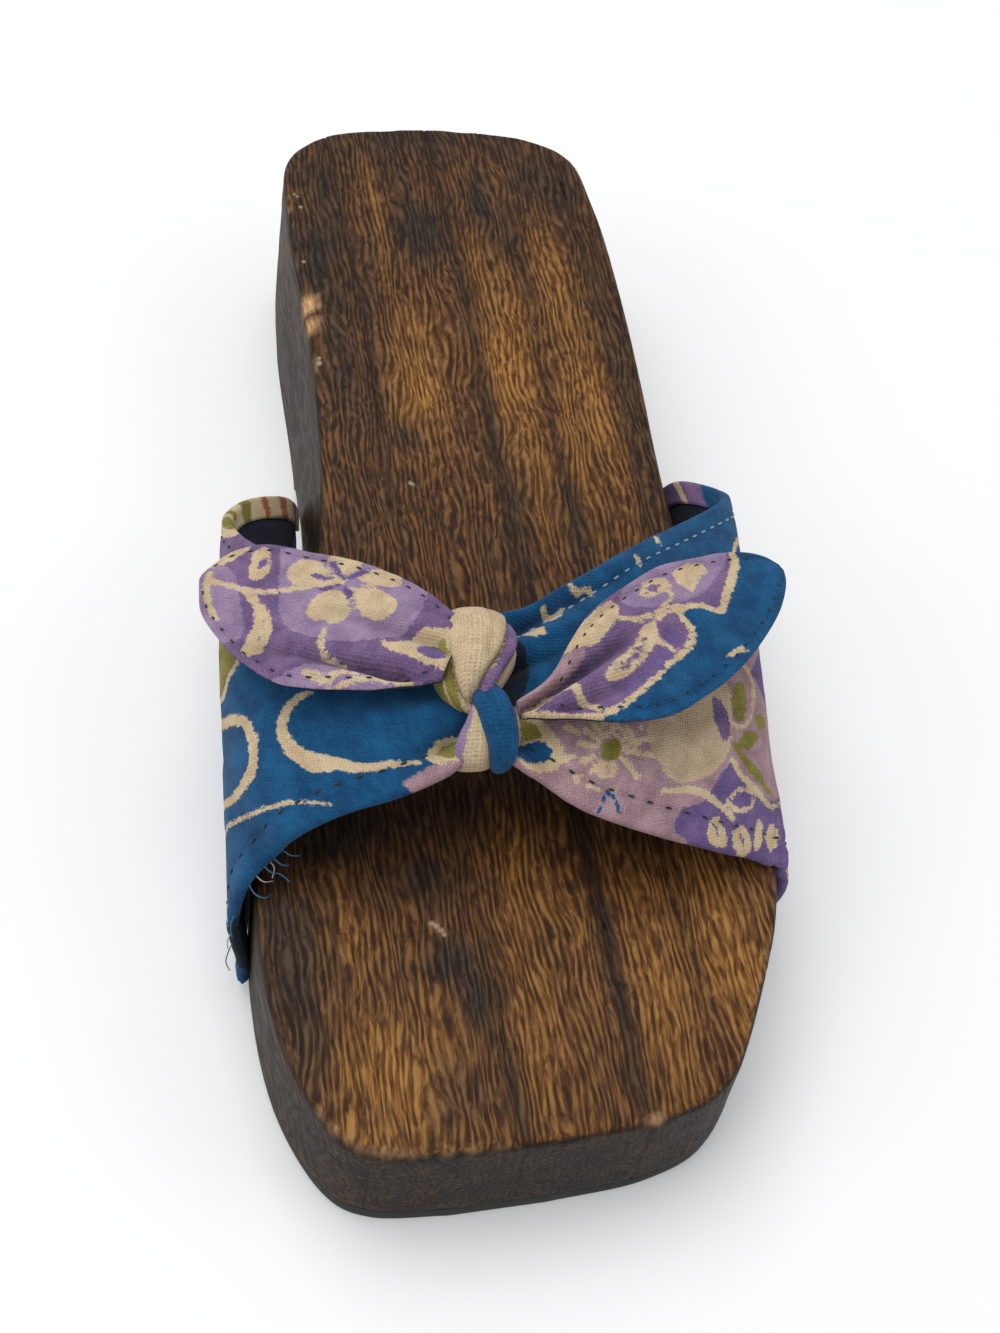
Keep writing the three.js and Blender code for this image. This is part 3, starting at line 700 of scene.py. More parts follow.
def against_wood(place, side, hug):
    """
    Lays a point of the band against the wood's side, as closely as hug says, and keeps it out of the
    wood.
    """
    clear = GAP + STRAP_WALL / 2 + 0.15
    lowest = underside_height(place.y) + 1.0
    z = lowest if hug > 0.95 else max(place.z, lowest)
    top = bed_height(place.y)
    wall = wall_x(side, place.y, z)
    out = mix(side * (place.x - wall), clear, hug)
    above = z - top
    if above <= 0:
        out = max(out, clear)
    elif out <= 0:
        above = max(above, clear)
    else:
        grow = max(1.0, clear / math.hypot(out, above))
        out *= grow
        above *= grow
    return Vector((wall + side * out, place.y, top + above))


def strap_column(s, across):
    """The band's middle surface from its rear to its front edge, at one place along it."""
    before, after = max(0.0, s - DIRECTION_STEP), min(1.0, s + DIRECTION_STEP)
    rear, front = curve_at(rear_line, s), curve_at(front_line, s)
    ahead = (curve_at(rear_line, after) + curve_at(front_line, after)) / 2
    behind = (curve_at(rear_line, before) + curve_at(front_line, before)) / 2
    along = (ahead - behind).normalized()
    outward = Vector((-along.z, 0.0, along.x)).normalized()
    fit = curve_at(fit_line, s)
    column = []
    for j in range(across + 1):
        t = j / across
        place = rear.lerp(front, t) + outward * (fit.x * 4 * t * (1 - t))
        column.append(against_wood(place, -1 if s < STRAP_MIDDLE else 1, clamp(fit.y)))
    return column


band = np.array([
    [tuple(place) for place in strap_column(i / STRAP_ALONG, STRAP_ACROSS)]
    for i in range(STRAP_ALONG + 1)
])
band_along = np.gradient(band, axis=0)
band_across = np.gradient(band, axis=1)
band_out = np.cross(band_across, band_along)
band_out /= np.linalg.norm(band_out, axis=2)[:, :, None]
middle_column = band[:, STRAP_ACROSS // 2]
steps = np.linalg.norm(np.diff(middle_column, axis=0), axis=1)
band_u = np.concatenate([[0.0], np.cumsum(steps)])
band_u -= band_u[STRAP_ALONG // 2]
depth = np.linalg.norm(np.diff(band, axis=1), axis=2)
band_v = np.concatenate([np.zeros((STRAP_ALONG + 1, 1)), np.cumsum(depth, axis=1)], axis=1)
band_v -= band_v[:, STRAP_ACROSS // 2][:, None]


def smooth_path(points, per_span=8):
    """Given points joined by a smooth line, as an array."""
    rows = [Vector((*p, 0.0)) if len(p) == 2 else Vector(p) for p in points]
    count = per_span * (len(rows) - 1)
    return np.array([tuple(curve_at(rows, k / count)) for k in range(count + 1)])


def distance_to_path(u, v, path):
    """How far each cloth place (u, v) is from a line, and how far along the line it is nearest."""
    best = np.full(u.shape, 1e3)
    where = np.zeros(u.shape)
    for k, (a, b) in enumerate(zip(path, path[1:])):
        du, dv = b[0] - a[0], b[1] - a[1]
        share = np.clip(((u - a[0]) * du + (v - a[1]) * dv) / (du * du + dv * dv + 1e-9), 0.0, 1.0)
        away = np.hypot(u - a[0] - share * du, v - a[1] - share * dv)
        nearer = away < best
        best = np.where(nearer, away, best)
        where = np.where(nearer, (k + share) / (len(path) - 1), where)
    return best, where


# Folds on the cloth, in millimetres from the middle of the knot: u to the right
# end, v to the front. Height (minus for a valley), half width, and the points.
STRAP_FOLDS = [
    (-2.3, 1.5, [(3, -7), (9, -13), (20, -19), (34, -23)]),
    (1.5, 1.7, [(3, -10), (9, -17), (20, -23), (36, -28)]),
    (1.4, 1.5, [(4, -4), (12, -10), (24, -15)]),
    (-1.8, 1.3, [(3, -1), (10, -5), (22, -9)]),
    (-1.2, 1.6, [(2, 7), (9, 13), (19, 20)]),
    (0.7, 2.0, [(2, 3), (12, 5), (24, 8)]),
    (-1.5, 1.4, [(-2, 9), (-9, 14), (-20, 19)]),
    (0.9, 2.0, [(-2, 5), (-12, 8), (-26, 11)]),
    (-1.0, 1.8, [(-2, -3), (-14, -5), (-28, -6)]),
    (0.7, 2.2, [(-2, -8), (-14, -12), (-28, -16)]),
    (-0.5, 3.0, [(-46, 34), (-54, 20), (-60, 4)]),
    (0.5, 3.0, [(58, 28), (64, 10), (68, -8)]),
]
HEM_STITCH = 4.6  # from the cloth's edge to the row of stitches
STITCH_PULL, STITCH_DIP = 0.28, 0.8  # how deep and how wide the stitches pull the cloth in
HEMMED_FROM = 30  # the gathered middle of the band, narrower than this, hides its stitches


# Washed cotton is uneven: broad soft waves with small ones on them. Each row has the waves' number
# to a millimetre along and across the cloth, a start of their own, and their height.
STRAP_RUMPLE = [(0.09, 0.07, 3.1, 0.42), (0.32, 0.22, 8.7, 0.16)]


def rumple_at(u, v, waves):
    """How far the rumpled cloth stands out at one cloth place."""
    return sum(
        height * noise.noise(Vector((u * along, v * across, start)))
        for along, across, start, height in waves
    )


def fold_height(u, v, folds):
    """Each fold dies away towards the far end of its line."""
    total = np.zeros(u.shape)
    for height, half_width, points in folds:
        away, where = distance_to_path(u, v, smooth_path(points))
        total += height * np.exp(-((away / half_width) ** 2)) * np.clip(1.6 * (1 - where), 0.0, 1.0)
    return total


band_uv = np.stack([np.repeat(band_u[:, None], STRAP_ACROSS + 1, axis=1), band_v], axis=2)
band_depth = (band_v[:, -1] - band_v[:, 0])[:, None]
from_edge = np.minimum(band_v - band_v[:, :1], band_v[:, -1:] - band_v)
relief = fold_height(band_uv[:, :, 0], band_uv[:, :, 1], STRAP_FOLDS)
stitch_rows = np.exp(-(((from_edge - HEM_STITCH) / STITCH_DIP) ** 2))
relief -= STITCH_PULL * stitch_rows * (band_depth > HEMMED_FROM)
for i in range(STRAP_ALONG + 1):
    for j in range(STRAP_ACROSS + 1):
        relief[i, j] += rumple_at(*band_uv[i, j], STRAP_RUMPLE)
band_folded = band + band_out * relief[:, :, None]

# The middles of the outer cotton, the turned hem and the lining, out from the band's middle.
COTTON_OUT = 0.72
HEM_IN = -0.98
LINING_IN = -0.62
COTTON_THICKNESS, LINING_THICKNESS = 0.5, 0.4
HEM_REACH = 5.0
HEM_UV = 2.6  # the cloth that goes round the turned edge
ROUNDNESS = 0.6
TURN_STEPS = 6
HEM_STEPS = 5
# a valley this deep in the cloth gets the full painted shade
CREASE_DEPTH = 1.8


def cotton_edge(i, rear):
    """The cotton's turned edge at column i, from inside the band round to the outside."""
    j = 0 if rear else STRAP_ACROSS
    edge, inside = band_folded[i, j], band_folded[i, 6 if rear else STRAP_ACROSS - 6]
    inward = (inside - edge) / np.linalg.norm(inside - edge)
    out = band_out[i, j]
    middle, radius = (COTTON_OUT + HEM_IN) / 2, (COTTON_OUT - HEM_IN) / 2
    points, reaches = [], []
    for k in range(HEM_STEPS):
        reach = HEM_REACH * (1 - k / HEM_STEPS)
        points.append(edge + inward * (reach + radius * ROUNDNESS) + out * HEM_IN)
        reaches.append(reach + HEM_UV)
    for k in range(TURN_STEPS):
        angle = math.pi * k / TURN_STEPS
        across = radius * (ROUNDNESS - math.sin(angle))
        points.append(edge + out * (middle - radius * math.cos(angle)) + inward * across)
        reaches.append(HEM_UV * (1 - k / TURN_STEPS))
    sign = -1.0 if rear else 1.0
    return points, [(band_uv[i, j, 0], band_uv[i, j, 1] + sign * reach) for reach in reaches]


def cotton_row(i):
    """The cotton's section at column i, from the rear hem's inside to the front hem's inside."""
    rear_points, rear_uvs = cotton_edge(i, True)
    front_points, front_uvs = cotton_edge(i, False)
    outside = range(1, STRAP_ACROSS)
    points = rear_points + [band_folded[i, j] + band_out[i, j] * COTTON_OUT for j in outside]
    uvs = rear_uvs + [tuple(band_uv[i, j]) for j in outside]
    return points + front_points[::-1], uvs + front_uvs[::-1]


def cloth_from_rows(rows, uvs, relief_rows=None):
    """
    A sheet of quads laid through rows of points, with its UV map in millimetres of cloth. Where the
    relief is a valley, a painted shade number grows to 1, and the cloth's shader darkens the colour by it.
    """
    maker = bmesh.new()
    painted_shade_layer = maker.verts.layers.float.new("painted_crease_shade")
    across, along = len(rows[0]) - 1, len(rows) - 1
    bmesh.ops.create_grid(maker, x_segments=along, y_segments=across, size=0.5)
    uv_layer = maker.loops.layers.uv.new("cloth_mm")
    numbers = {}
    for vert in maker.verts:
        i, j = round((vert.co.x + 0.5) * along), round((vert.co.y + 0.5) * across)
        numbers[vert] = (i, j)
        vert.co = (Vector(rows[i][j]) + SHOE_PLACE) * MM
        # Painted shade: the deeper the valley, the darker the cloth's colour there.
        if relief_rows is not None:
            vert[painted_shade_layer] = clamp(-relief_rows[i][j] / CREASE_DEPTH)
    for face in maker.faces:
        for loop in face.loops:
            i, j = numbers[loop.vert]
            loop[uv_layer].uv = uvs[i][j]
    return maker


def cloth_places(target):
    """The cloth place of every vertex, in millimetres, from the UV map."""
    corner_uv = np.zeros(2 * len(target.data.loops))
    target.data.uv_layers["cloth_mm"].data.foreach_get("uv", corner_uv)
    corner_vert = np.zeros(len(target.data.loops), dtype=np.int32)
    target.data.loops.foreach_get("vertex_index", corner_vert)
    places = np.zeros((len(target.data.vertices), 2))
    places[corner_vert] = corner_uv.reshape(-1, 2)
    return places[:, 0], places[:, 1]


def add_thickness(target, thickness):
    """Gives a sheet its thickness, half to each side, with closed rims."""
    wall = target.modifiers.new("cloth_thickness", "SOLIDIFY")
    wall.thickness = thickness * MM
    wall.offset = 0.0


# The print. Each motif lays one colour over what is there: a blob fills a closed smooth
# line, a brush follows an open line with its own half width at start, middle and end, and
# rays are thin petals round a middle. Places are millimetres on the cloth.
# The dyes lie over each other in this order, each from dark to light.
PRINT_COLOURS = {
    "navy": ("#0c1420", "#1b2739"),
    "teal": ("#08406a", "#145b89"),
    "purple": ("#644f78", "#896c92"),
    "violet": ("#5f4b7d", "#7c6494"),
    "lilac": ("#8b7295", "#a88fad"),
    "mauve": ("#96757f", "#b9989d"),
    "beige": ("#bda184", "#d6bd9c"),
    "cream": ("#c3a985", "#dfc9a4"),
    "olive": ("#716a26", "#968c42"),
    "rust": ("#96522c", "#b97848"),
}


def inside_depth(u, v, motif):
    """How deep each cloth place lies inside a motif, in millimetres; negative outside."""
    kind, data = motif[1], motif[2]
    if kind == "brush":
        away, where = distance_to_path(u, v, smooth_path(data))
        start, middle, end = motif[3]
        half = np.where(where < 0.5, mix(start, middle, 2 * where), mix(middle, end, 2 * where - 1))
        return half - away
    if kind == "rays":
        middle_u, middle_v = data
        count, inner, outer, half = motif[3]
        depth = np.full(u.shape, -9.0)
        for k in range(count):
            angle = 2 * math.pi * (k + 0.3 * math.sin(5.0 * k)) / count
            reach = outer * (0.86 + 0.14 * math.cos(7.0 * k))
            ends = [
                (middle_u + r * math.cos(angle), middle_v + r * math.sin(angle)) for r in (inner, reach)
            ]
            away, where = distance_to_path(u, v, np.array(ends))
            depth = np.maximum(depth, half * (0.5 + 0.5 * where) - away)
        return depth
    closed = smooth_path([*data, data[0]])
    away, _ = distance_to_path(u, v, closed)
    inside = np.zeros(u.shape, dtype=bool)
    for a, b in zip(closed, closed[1:]):
        crosses = (a[1] > v) != (b[1] > v)
        with np.errstate(divide="ignore", invalid="ignore"):
            inside ^= crosses & (u < a[0] + (v - a[1]) * (b[0] - a[0]) / (b[1] - a[1]))
    return np.where(inside, away, -away)


UNDERLAP = 0.9  # how far a dye runs on under the ones that lie over it
FIELD_SPREAD = 0.35  # how far the dyes of the wide fields bleed out
DYES = list(PRINT_COLOURS)
FIELD_DYES = DYES[:DYES.index("beige") + 1]


def paint_print(target, motifs):
    """
    Stores how deep each vertex lies inside each dye of the print. The shader lays later dyes over earlier
    ones, so an earlier one runs on a little way under them, and the ground never shows between.
    """
    u, v = cloth_places(target)
    depths = {name: np.full(u.shape, -5.0) for name in DYES}
    for motif in motifs:
        depth = inside_depth(u, v, motif)
        level = DYES.index(motif[0])
        for name in DYES:
            if name == motif[0]:
                spread = FIELD_SPREAD if name in FIELD_DYES else 0.0
                depths[name] = np.maximum(depths[name], depth + spread)
            else:
                under = UNDERLAP if DYES.index(name) < level else 0.0
                depths[name] = np.minimum(depths[name], under - depth)
    for name, values in depths.items():
        layer = target.data.attributes.new(name, "FLOAT", "POINT")
        layer.data.foreach_set("value", np.clip(values, -5.0, 5.0))


# Plain-woven printed cotton, washed soft: matt, with a faint nap. The dye sits unevenly on
# the threads, so each colour is speckled light and dark, and the print's edges are ragged
# like brushed resist paste. Threads are 0.55 mm apart, drawn coarse enough to show.
THREADS = 0.55
BANDS_PER_UNIT = 0.314  # a wave texture's scale that gives one band for each unit


def woven_cotton(name, ground, printed=True):
    """Cotton with one ground dye, and the other dyes of the print over it."""
    cloth = new_material(name)
    uv = add_node(cloth, "ShaderNodeUVMap", uv_map="cloth_mm").outputs["UV"]
    blotch = add_node(
        cloth, "ShaderNodeTexNoise", {"Vector": uv}, Scale=0.22, Detail=4.0, Roughness=0.6
    ).outputs["Fac"]
    speck = add_node(
        cloth, "ShaderNodeTexNoise", {"Vector": uv}, Scale=2.4, Detail=3.0, Roughness=0.75
    ).outputs["Fac"]
    tone = add_node(cloth, "ShaderNodeMath", {0: speck, 1: blotch}, operation="ADD").outputs[0]
    tone = add_node(
        cloth, "ShaderNodeMapRange", {"Value": tone}, From_Min=0.84, From_Max=1.16
    ).outputs[0]
    dyed = {}
    for dye in DYES if printed else [ground]:
        dark, light = PRINT_COLOURS[dye]
        dyed[dye] = add_node(
            cloth, "ShaderNodeMixRGB", {"Fac": tone}, Color1=linear(dark), Color2=linear(light)
        ).outputs["Color"]
    colour = dyed.pop(ground)
    if printed:
        wobble = add_node(
            cloth, "ShaderNodeTexNoise", {"Vector": uv}, Scale=0.9, Detail=4.0, Roughness=0.7
        ).outputs["Fac"]
        wobble = add_node(
            cloth, "ShaderNodeMapRange", {"Value": wobble}, From_Min=0.3, From_Max=0.7, To_Min=-0.45,
            To_Max=0.45,
        ).outputs[0]
        for dye, dye_colour in dyed.items():
            inside = add_node(cloth, "ShaderNodeAttribute", attribute_name=dye).outputs["Fac"]
            inside = add_node(cloth, "ShaderNodeMath", {0: inside, 1: wobble}, operation="ADD").outputs[0]
            share = add_node(
                cloth, "ShaderNodeMapRange", {"Value": inside}, From_Min=-0.16, From_Max=0.16
            ).outputs[0]
            colour = add_node(
                cloth, "ShaderNodeMixRGB", {"Fac": share, "Color1": colour, "Color2": dye_colour}
            ).outputs["Color"]
    weave_heights = []
    for direction in ("X", "Y"):
        weave_heights.append(add_node(
            cloth, "ShaderNodeTexWave", {"Vector": uv}, wave_type="BANDS", bands_direction=direction,
            Scale=BANDS_PER_UNIT / THREADS, Distortion=0.6, Detail=1.0, Detail_Scale=1.5,
        ).outputs["Fac"])
    weave = add_node(
        cloth, "ShaderNodeMath", {0: weave_heights[0], 1: weave_heights[1]}, operation="MAXIMUM"
    ).outputs[0]
    thread_shade = add_node(
        cloth, "ShaderNodeMapRange", {"Value": weave}, To_Min=0.80, To_Max=1.04
    ).outputs[0]
    # Painted shade: the colour is darkened in the valleys of the folds, to 0.42 at the deepest.
    painted_crease_shade = add_node(cloth, "ShaderNodeAttribute", attribute_name="painted_crease_shade").outputs["Fac"]
    crease_shade = add_node(
        cloth, "ShaderNodeMapRange", {"Value": painted_crease_shade}, To_Min=1.0, To_Max=0.42
    ).outputs[0]
    for shade in (thread_shade, crease_shade):
        colour = add_node(
            cloth, "ShaderNodeMixRGB", {"Color1": colour, "Color2": shade}, blend_type="MULTIPLY", Fac=1.0
        ).outputs["Color"]
    relief_height = add_node(cloth, "ShaderNodeMath", {0: weave, 1: speck}, operation="ADD").outputs[0]
    bump = add_node(
        cloth, "ShaderNodeBump", {"Height": relief_height}, Strength=0.5, Distance=0.0003
    ).outputs["Normal"]
    shader = add_node(
        cloth, "ShaderNodeBsdfPrincipled", {"Base Color": colour, "Normal": bump}, Roughness=0.88, IOR=1.45,
        Sheen_Weight=0.08, Sheen_Roughness=0.5, Specular_IOR_Level=0.25,
    )
    add_node(cloth, "ShaderNodeOutputMaterial", {"Surface": shader.outputs["BSDF"]})
    return cloth


teal_print = woven_cotton("printed_cotton_teal_ground", "teal")
purple_print = woven_cotton("printed_cotton_purple_ground", "purple")
cream_print = woven_cotton("printed_cotton_cream_ground", "cream")
navy_cotton = woven_cotton("navy_cotton_lining", "navy", printed=False)

# The strap's print, with one navy patch of painted shade beside the knot.
STRAP_PRINT_AND_SHADE = [
    # the rear left, behind the bow: purple, with a cream, olive and rust spray along the rim
    ("purple", "blob", [(-110, -70), (-112, -30), (-84, -30), (-62, -27), (-46, -22), (-34, -20),
                        (-30, -30), (-60, -66)]),
    ("cream", "blob", [(-88, -70), (-72, -66), (-58, -58), (-44, -48), (-42, -33), (-50, -34),
                       (-56, -37), (-64, -41), (-74, -45), (-88, -50)]),
    ("olive", "blob", [(-51, -41), (-47, -38.6), (-44.6, -35), (-47.4, -35.4), (-50.6, -37.4)]),
    ("olive", "brush", [(-61, -54), (-59.4, -48), (-58, -42)], (0.7, 1.3, 0.5)),
    ("olive", "brush", [(-55, -46), (-53.6, -42), (-53.4, -37.6)], (0.4, 0.8, 0.3)),
    ("rust", "brush", [(-72, -60), (-70.4, -54), (-69, -48)], (0.8, 1.0, 0.5)),
    ("rust", "brush", [(-66.4, -56), (-65, -50.6), (-64, -45)], (0.5, 0.8, 0.5)),
    ("purple", "brush", [(-76, -60), (-74.6, -54), (-73, -49)], (0.6, 0.8, 0.5)),
    ("purple", "blob", [(76, -62), (96, -64), (96, -50), (86, -48), (78, -46)]),
    ("cream", "brush", [(80, -56), (82, -50), (84, -46.6)], (0.5, 0.9, 0.5)),
    # the left side: an olive cloud with a cream edge, and brushed cream cloud outlines on teal
    ("olive", "blob", [(-66, -10), (-58, -16), (-48, -13), (-43, -6), (-44, -2), (-50, 2.5), (-58, 2),
                       (-64, -3)]),
    ("cream", "brush", [(-42, -7), (-43, -3), (-47, 0), (-50, 2.8), (-57, 2.5), (-64, -2),
                        (-68, -8)], (0.4, 0.8, 0.4)),
    ("cream", "brush", [(-42.2, 14), (-43.5, 10), (-47, 8.6), (-53, 8), (-59, 5), (-66, 6), (-72, 10),
                        (-73, 16), (-68, 21), (-61, 24), (-54, 24), (-48, 22.4), (-43.5, 19),
                        (-42.2, 14.5)], (1.3, 0.8, 1.1)),
    ("cream", "brush", [(-29.5, 5), (-32, 6.2), (-34.6, 9), (-36, 12.5), (-35, 16.5),
                        (-32, 19)], (0.5, 0.9, 1.9)),
    ("cream", "brush", [(-32.5, 18.8), (-28, 19.2), (-24, 19.9), (-19, 19),
                        (-13.5, 18)], (1.9, 0.9, 0.4)),
    ("cream", "brush", [(-70, 34), (-60, 30), (-52, 28.2), (-44, 27.2), (-37, 26.2),
                        (-31, 26.8)], (0.5, 0.45, 0.3)),
    ("cream", "brush", [(-80, 2), (-76, -6), (-70, -12)], (0.5, 1.1, 0.4)),
    ("cream", "brush", [(-82, 24), (-78, 34), (-70, 42), (-62, 44)], (0.5, 1.2, 0.4)),
    # the worn front edge low at the left, where the navy lining shows
    ("navy", "blob", [(-61, 47.6), (-66, 49), (-72, 51.6), (-77, 54), (-78, 66), (-58, 62), (-57, 50)]),
    ("cream", "brush", [(-63.4, 45.4), (-64.6, 47.6)], (0.4, 0.7, 0.4)),
    ("cream", "brush", [(-69.6, 48.4), (-70.6, 50.6)], (0.4, 0.6, 0.4)),
    # beside the knot on the left: an olive leaf with a cream rim, and a mauve edge
    ("mauve", "blob", [(-17, 22.5), (-11, 18.6), (-5, 16.6), (1, 12.5), (2, 20), (-14, 27)]),
    ("cream", "blob", [(-12, 16.5), (-9, 12.8), (-4, 10.8), (-1, 10.5), (-3, 14.5), (-8, 17.6),
                       (-11, 18)]),
    ("olive", "blob", [(-10, 16), (-8, 13.6), (-4, 11.9), (-2.6, 12.2), (-5, 15), (-8, 16.6)]),
    # the right side: teal behind the bow with small cream flecks
    ("cream", "blob", [(10, -12.5), (13, -13), (14, -11), (12, -10), (10.5, -10.6)]),
    ("cream", "brush", [(14, -17.5), (15.5, -15), (17.5, -17.5)], (0.5, 0.9, 0.5)),
    ("cream", "brush", [(19, -22), (20, -20.5), (23, -21)], (0.4, 0.7, 0.3)),
    ("cream", "brush", [(23.2, -20.5), (23.8, -18.2)], (0.5, 0.6, 0.2)),
    ("cream", "brush", [(33.6, -26.5), (34.6, -23.4)], (0.3, 0.7, 0.3)),
    ("cream", "brush", [(39.4, -31), (40, -28.2)], (0.3, 0.7, 0.3)),
    ("cream", "brush", [(74, -44), (80, -38), (88, -36), (96, -40)], (0.4, 1.2, 0.4)),
    # the right front: a mauve and beige field with a big chrysanthemum, then purple with flowers
    ("mauve", "blob", [(2, 14), (6, 6), (12, 2), (24, 0), (40, 2), (52, -2), (64, -8), (78, -14),
                       (112, -18), (112, 70), (60, 62), (24, 40), (4, 20)]),
    ("beige", "blob", [(36, 6), (44, 3), (51, 4), (53, 10), (52, 17), (48, 21), (40, 22), (35, 17),
                       (33, 11)]),
    ("purple", "blob", [(48, 6.5), (50.6, 8), (52.6, 14.6), (50.4, 15.8), (48.4, 11.4)]),
    ("violet", "blob", [(41, 27), (46, 26.5), (50, 22), (53, 20.5), (57, 25), (64, 28.5), (74, 27),
                        (90, 22), (112, 22), (112, 66), (60, 60), (44, 36), (39, 30)]),
    ("violet", "blob", [(60, 2), (68, -4), (76, -2), (80, 6), (74, 12), (66, 9)]),
    ("cream", "rays", (24.5, 13.2), (15, 2.6, 6.4, 0.72)),
    ("cream", "rays", (24.5, 13.2), (14, 7.2, 10.0, 0.8)),
    ("olive", "blob", [(23, 11.8), (26.2, 11.8), (26.4, 15), (23, 15)]),
    ("cream", "blob", [(5, 10), (8, 5.5), (12, 7), (15, 11.5), (15, 15), (8, 16)]),
    ("olive", "blob", [(7.6, 7), (10, 7), (11.4, 9.8), (8, 10.2)]),
    ("teal", "blob", [(6, 11.4), (11, 10.6), (13.4, 12.4), (11.6, 14.2), (6.6, 14.2)]),
    ("teal", "brush", [(21.4, 26.6), (22.6, 23.4), (24, 21), (25.8, 23.2),
                       (27, 26.6)], (0.35, 0.5, 0.35)),
    ("cream", "brush", [(36, 23.4), (42, 23.8), (46, 25.4), (50, 28), (53.4, 31)], (0.5, 0.8, 0.5)),
    ("cream", "brush", [(51.6, 27.6), (55, 25.8), (58.4, 26.8), (57.6, 29.4), (54, 29.4),
                        (51.8, 27.8)], (0.5, 0.5, 0.5)),
    ("cream", "brush", [(52.6, 19.6), (56, 23.6), (61, 27.4), (67, 29.6), (76, 27)], (0.6, 0.7, 0.4)),
    ("cream", "blob", [(46.4, 31.6), (48.8, 29.6), (51, 32), (51.8, 36), (47.6, 35)]),
    ("cream", "blob", [(53, 33.4), (56, 32.4), (58.6, 36.6), (57, 39), (53.8, 36.6)]),
    ("cream", "blob", [(60, 31.6), (62, 32.6), (61.6, 36.4), (59.4, 38)]),
    ("cream", "blob", [(62.8, 35.6), (65, 33), (68, 34.4), (68, 37.6), (65, 38.6)]),
    ("violet", "brush", [(48.4, 31.6), (49.6, 33.6)], (0.3, 0.35, 0.2)),
    ("violet", "brush", [(55.4, 34.4), (56.4, 36.6)], (0.3, 0.35, 0.2)),
    ("cream", "brush", [(70, 40), (76, 44), (84, 42), (88, 36), (82, 32), (76, 36)], (0.5, 1.1, 0.6)),
    ("cream", "rays", (88, 6), (6, 1.6, 6.4, 1.7)),
    ("olive", "blob", [(87, 5), (89, 5), (89, 7), (87, 7)]),
    ("cream", "brush", [(70, -12), (76, -18), (84, -20), (92, -16), (98, -20)], (0.4, 0.9, 0.4)),
    ("olive", "blob", [(78, -19), (82, -24), (87, -25), (84, -20)]),
    ("cream", "brush", [(60, -22), (62, -27), (67, -29), (71, -26), (69, -22)], (0.5, 1.0, 0.5)),
    ("violet", "blob", [(92, 20), (98, 14), (104, 20), (100, 28), (94, 26)]),
    ("cream", "brush", [(53, 7), (52.4, 3.6), (56, 0), (60, 3), (60, 9), (57, 13.4), (53.4, 12.6),
                        (52.6, 8)], (0.5, 0.6, 0.5)),
    ("olive", "blob", [(53.4, 8), (55, 4.4), (57.4, 4.6), (58, 8.4), (56.2, 12.4), (54, 11.6)]),
    ("olive", "brush", [(53, 16.6), (57, 20.8), (61.4, 24.6), (67, 27.4)], (0.5, 1.1, 0.5)),
    ("olive", "blob", [(53.6, 17.4), (57, 14.6), (61, 15.4), (58, 18)]),
    ("olive", "blob", [(60, 11.4), (63, 11), (63.6, 13.8), (60.6, 14)]),
    # painted shade: navy laid on the gathers close beside the knot, where they lie deep in shade
    ("navy", "blob", [(3, -7), (8, -9.5), (10, -5), (9, 0), (7, 4), (4, 5), (2, 0)]),
]

rows, uvs = zip(*[cotton_row(i) for i in range(STRAP_ALONG + 1)])
edge_steps = HEM_STEPS + TURN_STEPS
cotton_relief = np.pad(relief[:, 1:STRAP_ACROSS], ((0, 0), (edge_steps, edge_steps)), mode="edge")
strap = add_object("strap_cotton", cloth_from_rows(rows, uvs, cotton_relief), [teal_print])
paint_print(strap, STRAP_PRINT_AND_SHADE)
add_thickness(strap, COTTON_THICKNESS)
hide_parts("upper")
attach(strap, "root")

LINING_COLUMNS = 40
LINING_INSET = 3.0
LINING_MIDDLE = -8.0  # the x that parts the lining's left half from its right half
TUCK_GAP = 0.8  # from the wood's side to the middle of the tucked lining
lining_surface = band_folded + band_out * LINING_IN


def tuck_in(row):
    """Pulls the lining's front rim in against the wood's side, where the strap stands off it."""
    for k, share_in in ((-5, 0.1), (-4, 0.3), (-3, 0.6), (-2, 0.85), (-1, 1.0)):
        x, y, z = row[k]
        side = 1.0 if x > LINING_MIDDLE else -1.0
        if z < bed_height(y) - 1.0:
            row[k][0] -= side * max(0.0, side * (x - wall_x(side, y, z)) - TUCK_GAP) * share_in
    return row


lining_rows, lining_uvs = [], []
for i in range(0, STRAP_ALONG + 1, 2):
    inset = LINING_INSET / band_depth[i, 0]
    places = np.linspace(inset, 1 - inset, LINING_COLUMNS + 1) * STRAP_ACROSS
    numbers = np.arange(STRAP_ACROSS + 1)
    lining_rows.append(tuck_in(
        np.stack([np.interp(places, numbers, lining_surface[i, :, k]) for k in range(3)], axis=1)
    ))
    lining_uvs.append(np.stack([np.interp(places, numbers, band_uv[i, :, k]) for k in range(2)], axis=1))
lining = add_object("strap_lining", cloth_from_rows(lining_rows, lining_uvs), [navy_cotton])
add_thickness(lining, LINING_THICKNESS)
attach(lining, "root")


def plain_thread(name, colour):
    """Twisted sewing cotton: matt, with a little sheen."""
    thread = new_material(name)
    shader = add_node(
        thread, "ShaderNodeBsdfPrincipled", Base_Color=linear(colour), Roughness=0.7, IOR=1.45,
        Sheen_Weight=0.2,
    )
    add_node(thread, "ShaderNodeOutputMaterial", {"Surface": shader.outputs["BSDF"]})
    return thread


navy_thread = plain_thread("navy_sewing_thread", "#121c2e")
pale_thread = plain_thread("pale_blue_sewing_thread", "#7f9bb0")
teal_thread = plain_thread("frayed_teal_yarn", "#2a6a94")
white_thread = plain_thread("frayed_undyed_yarn", "#a9b0ae")


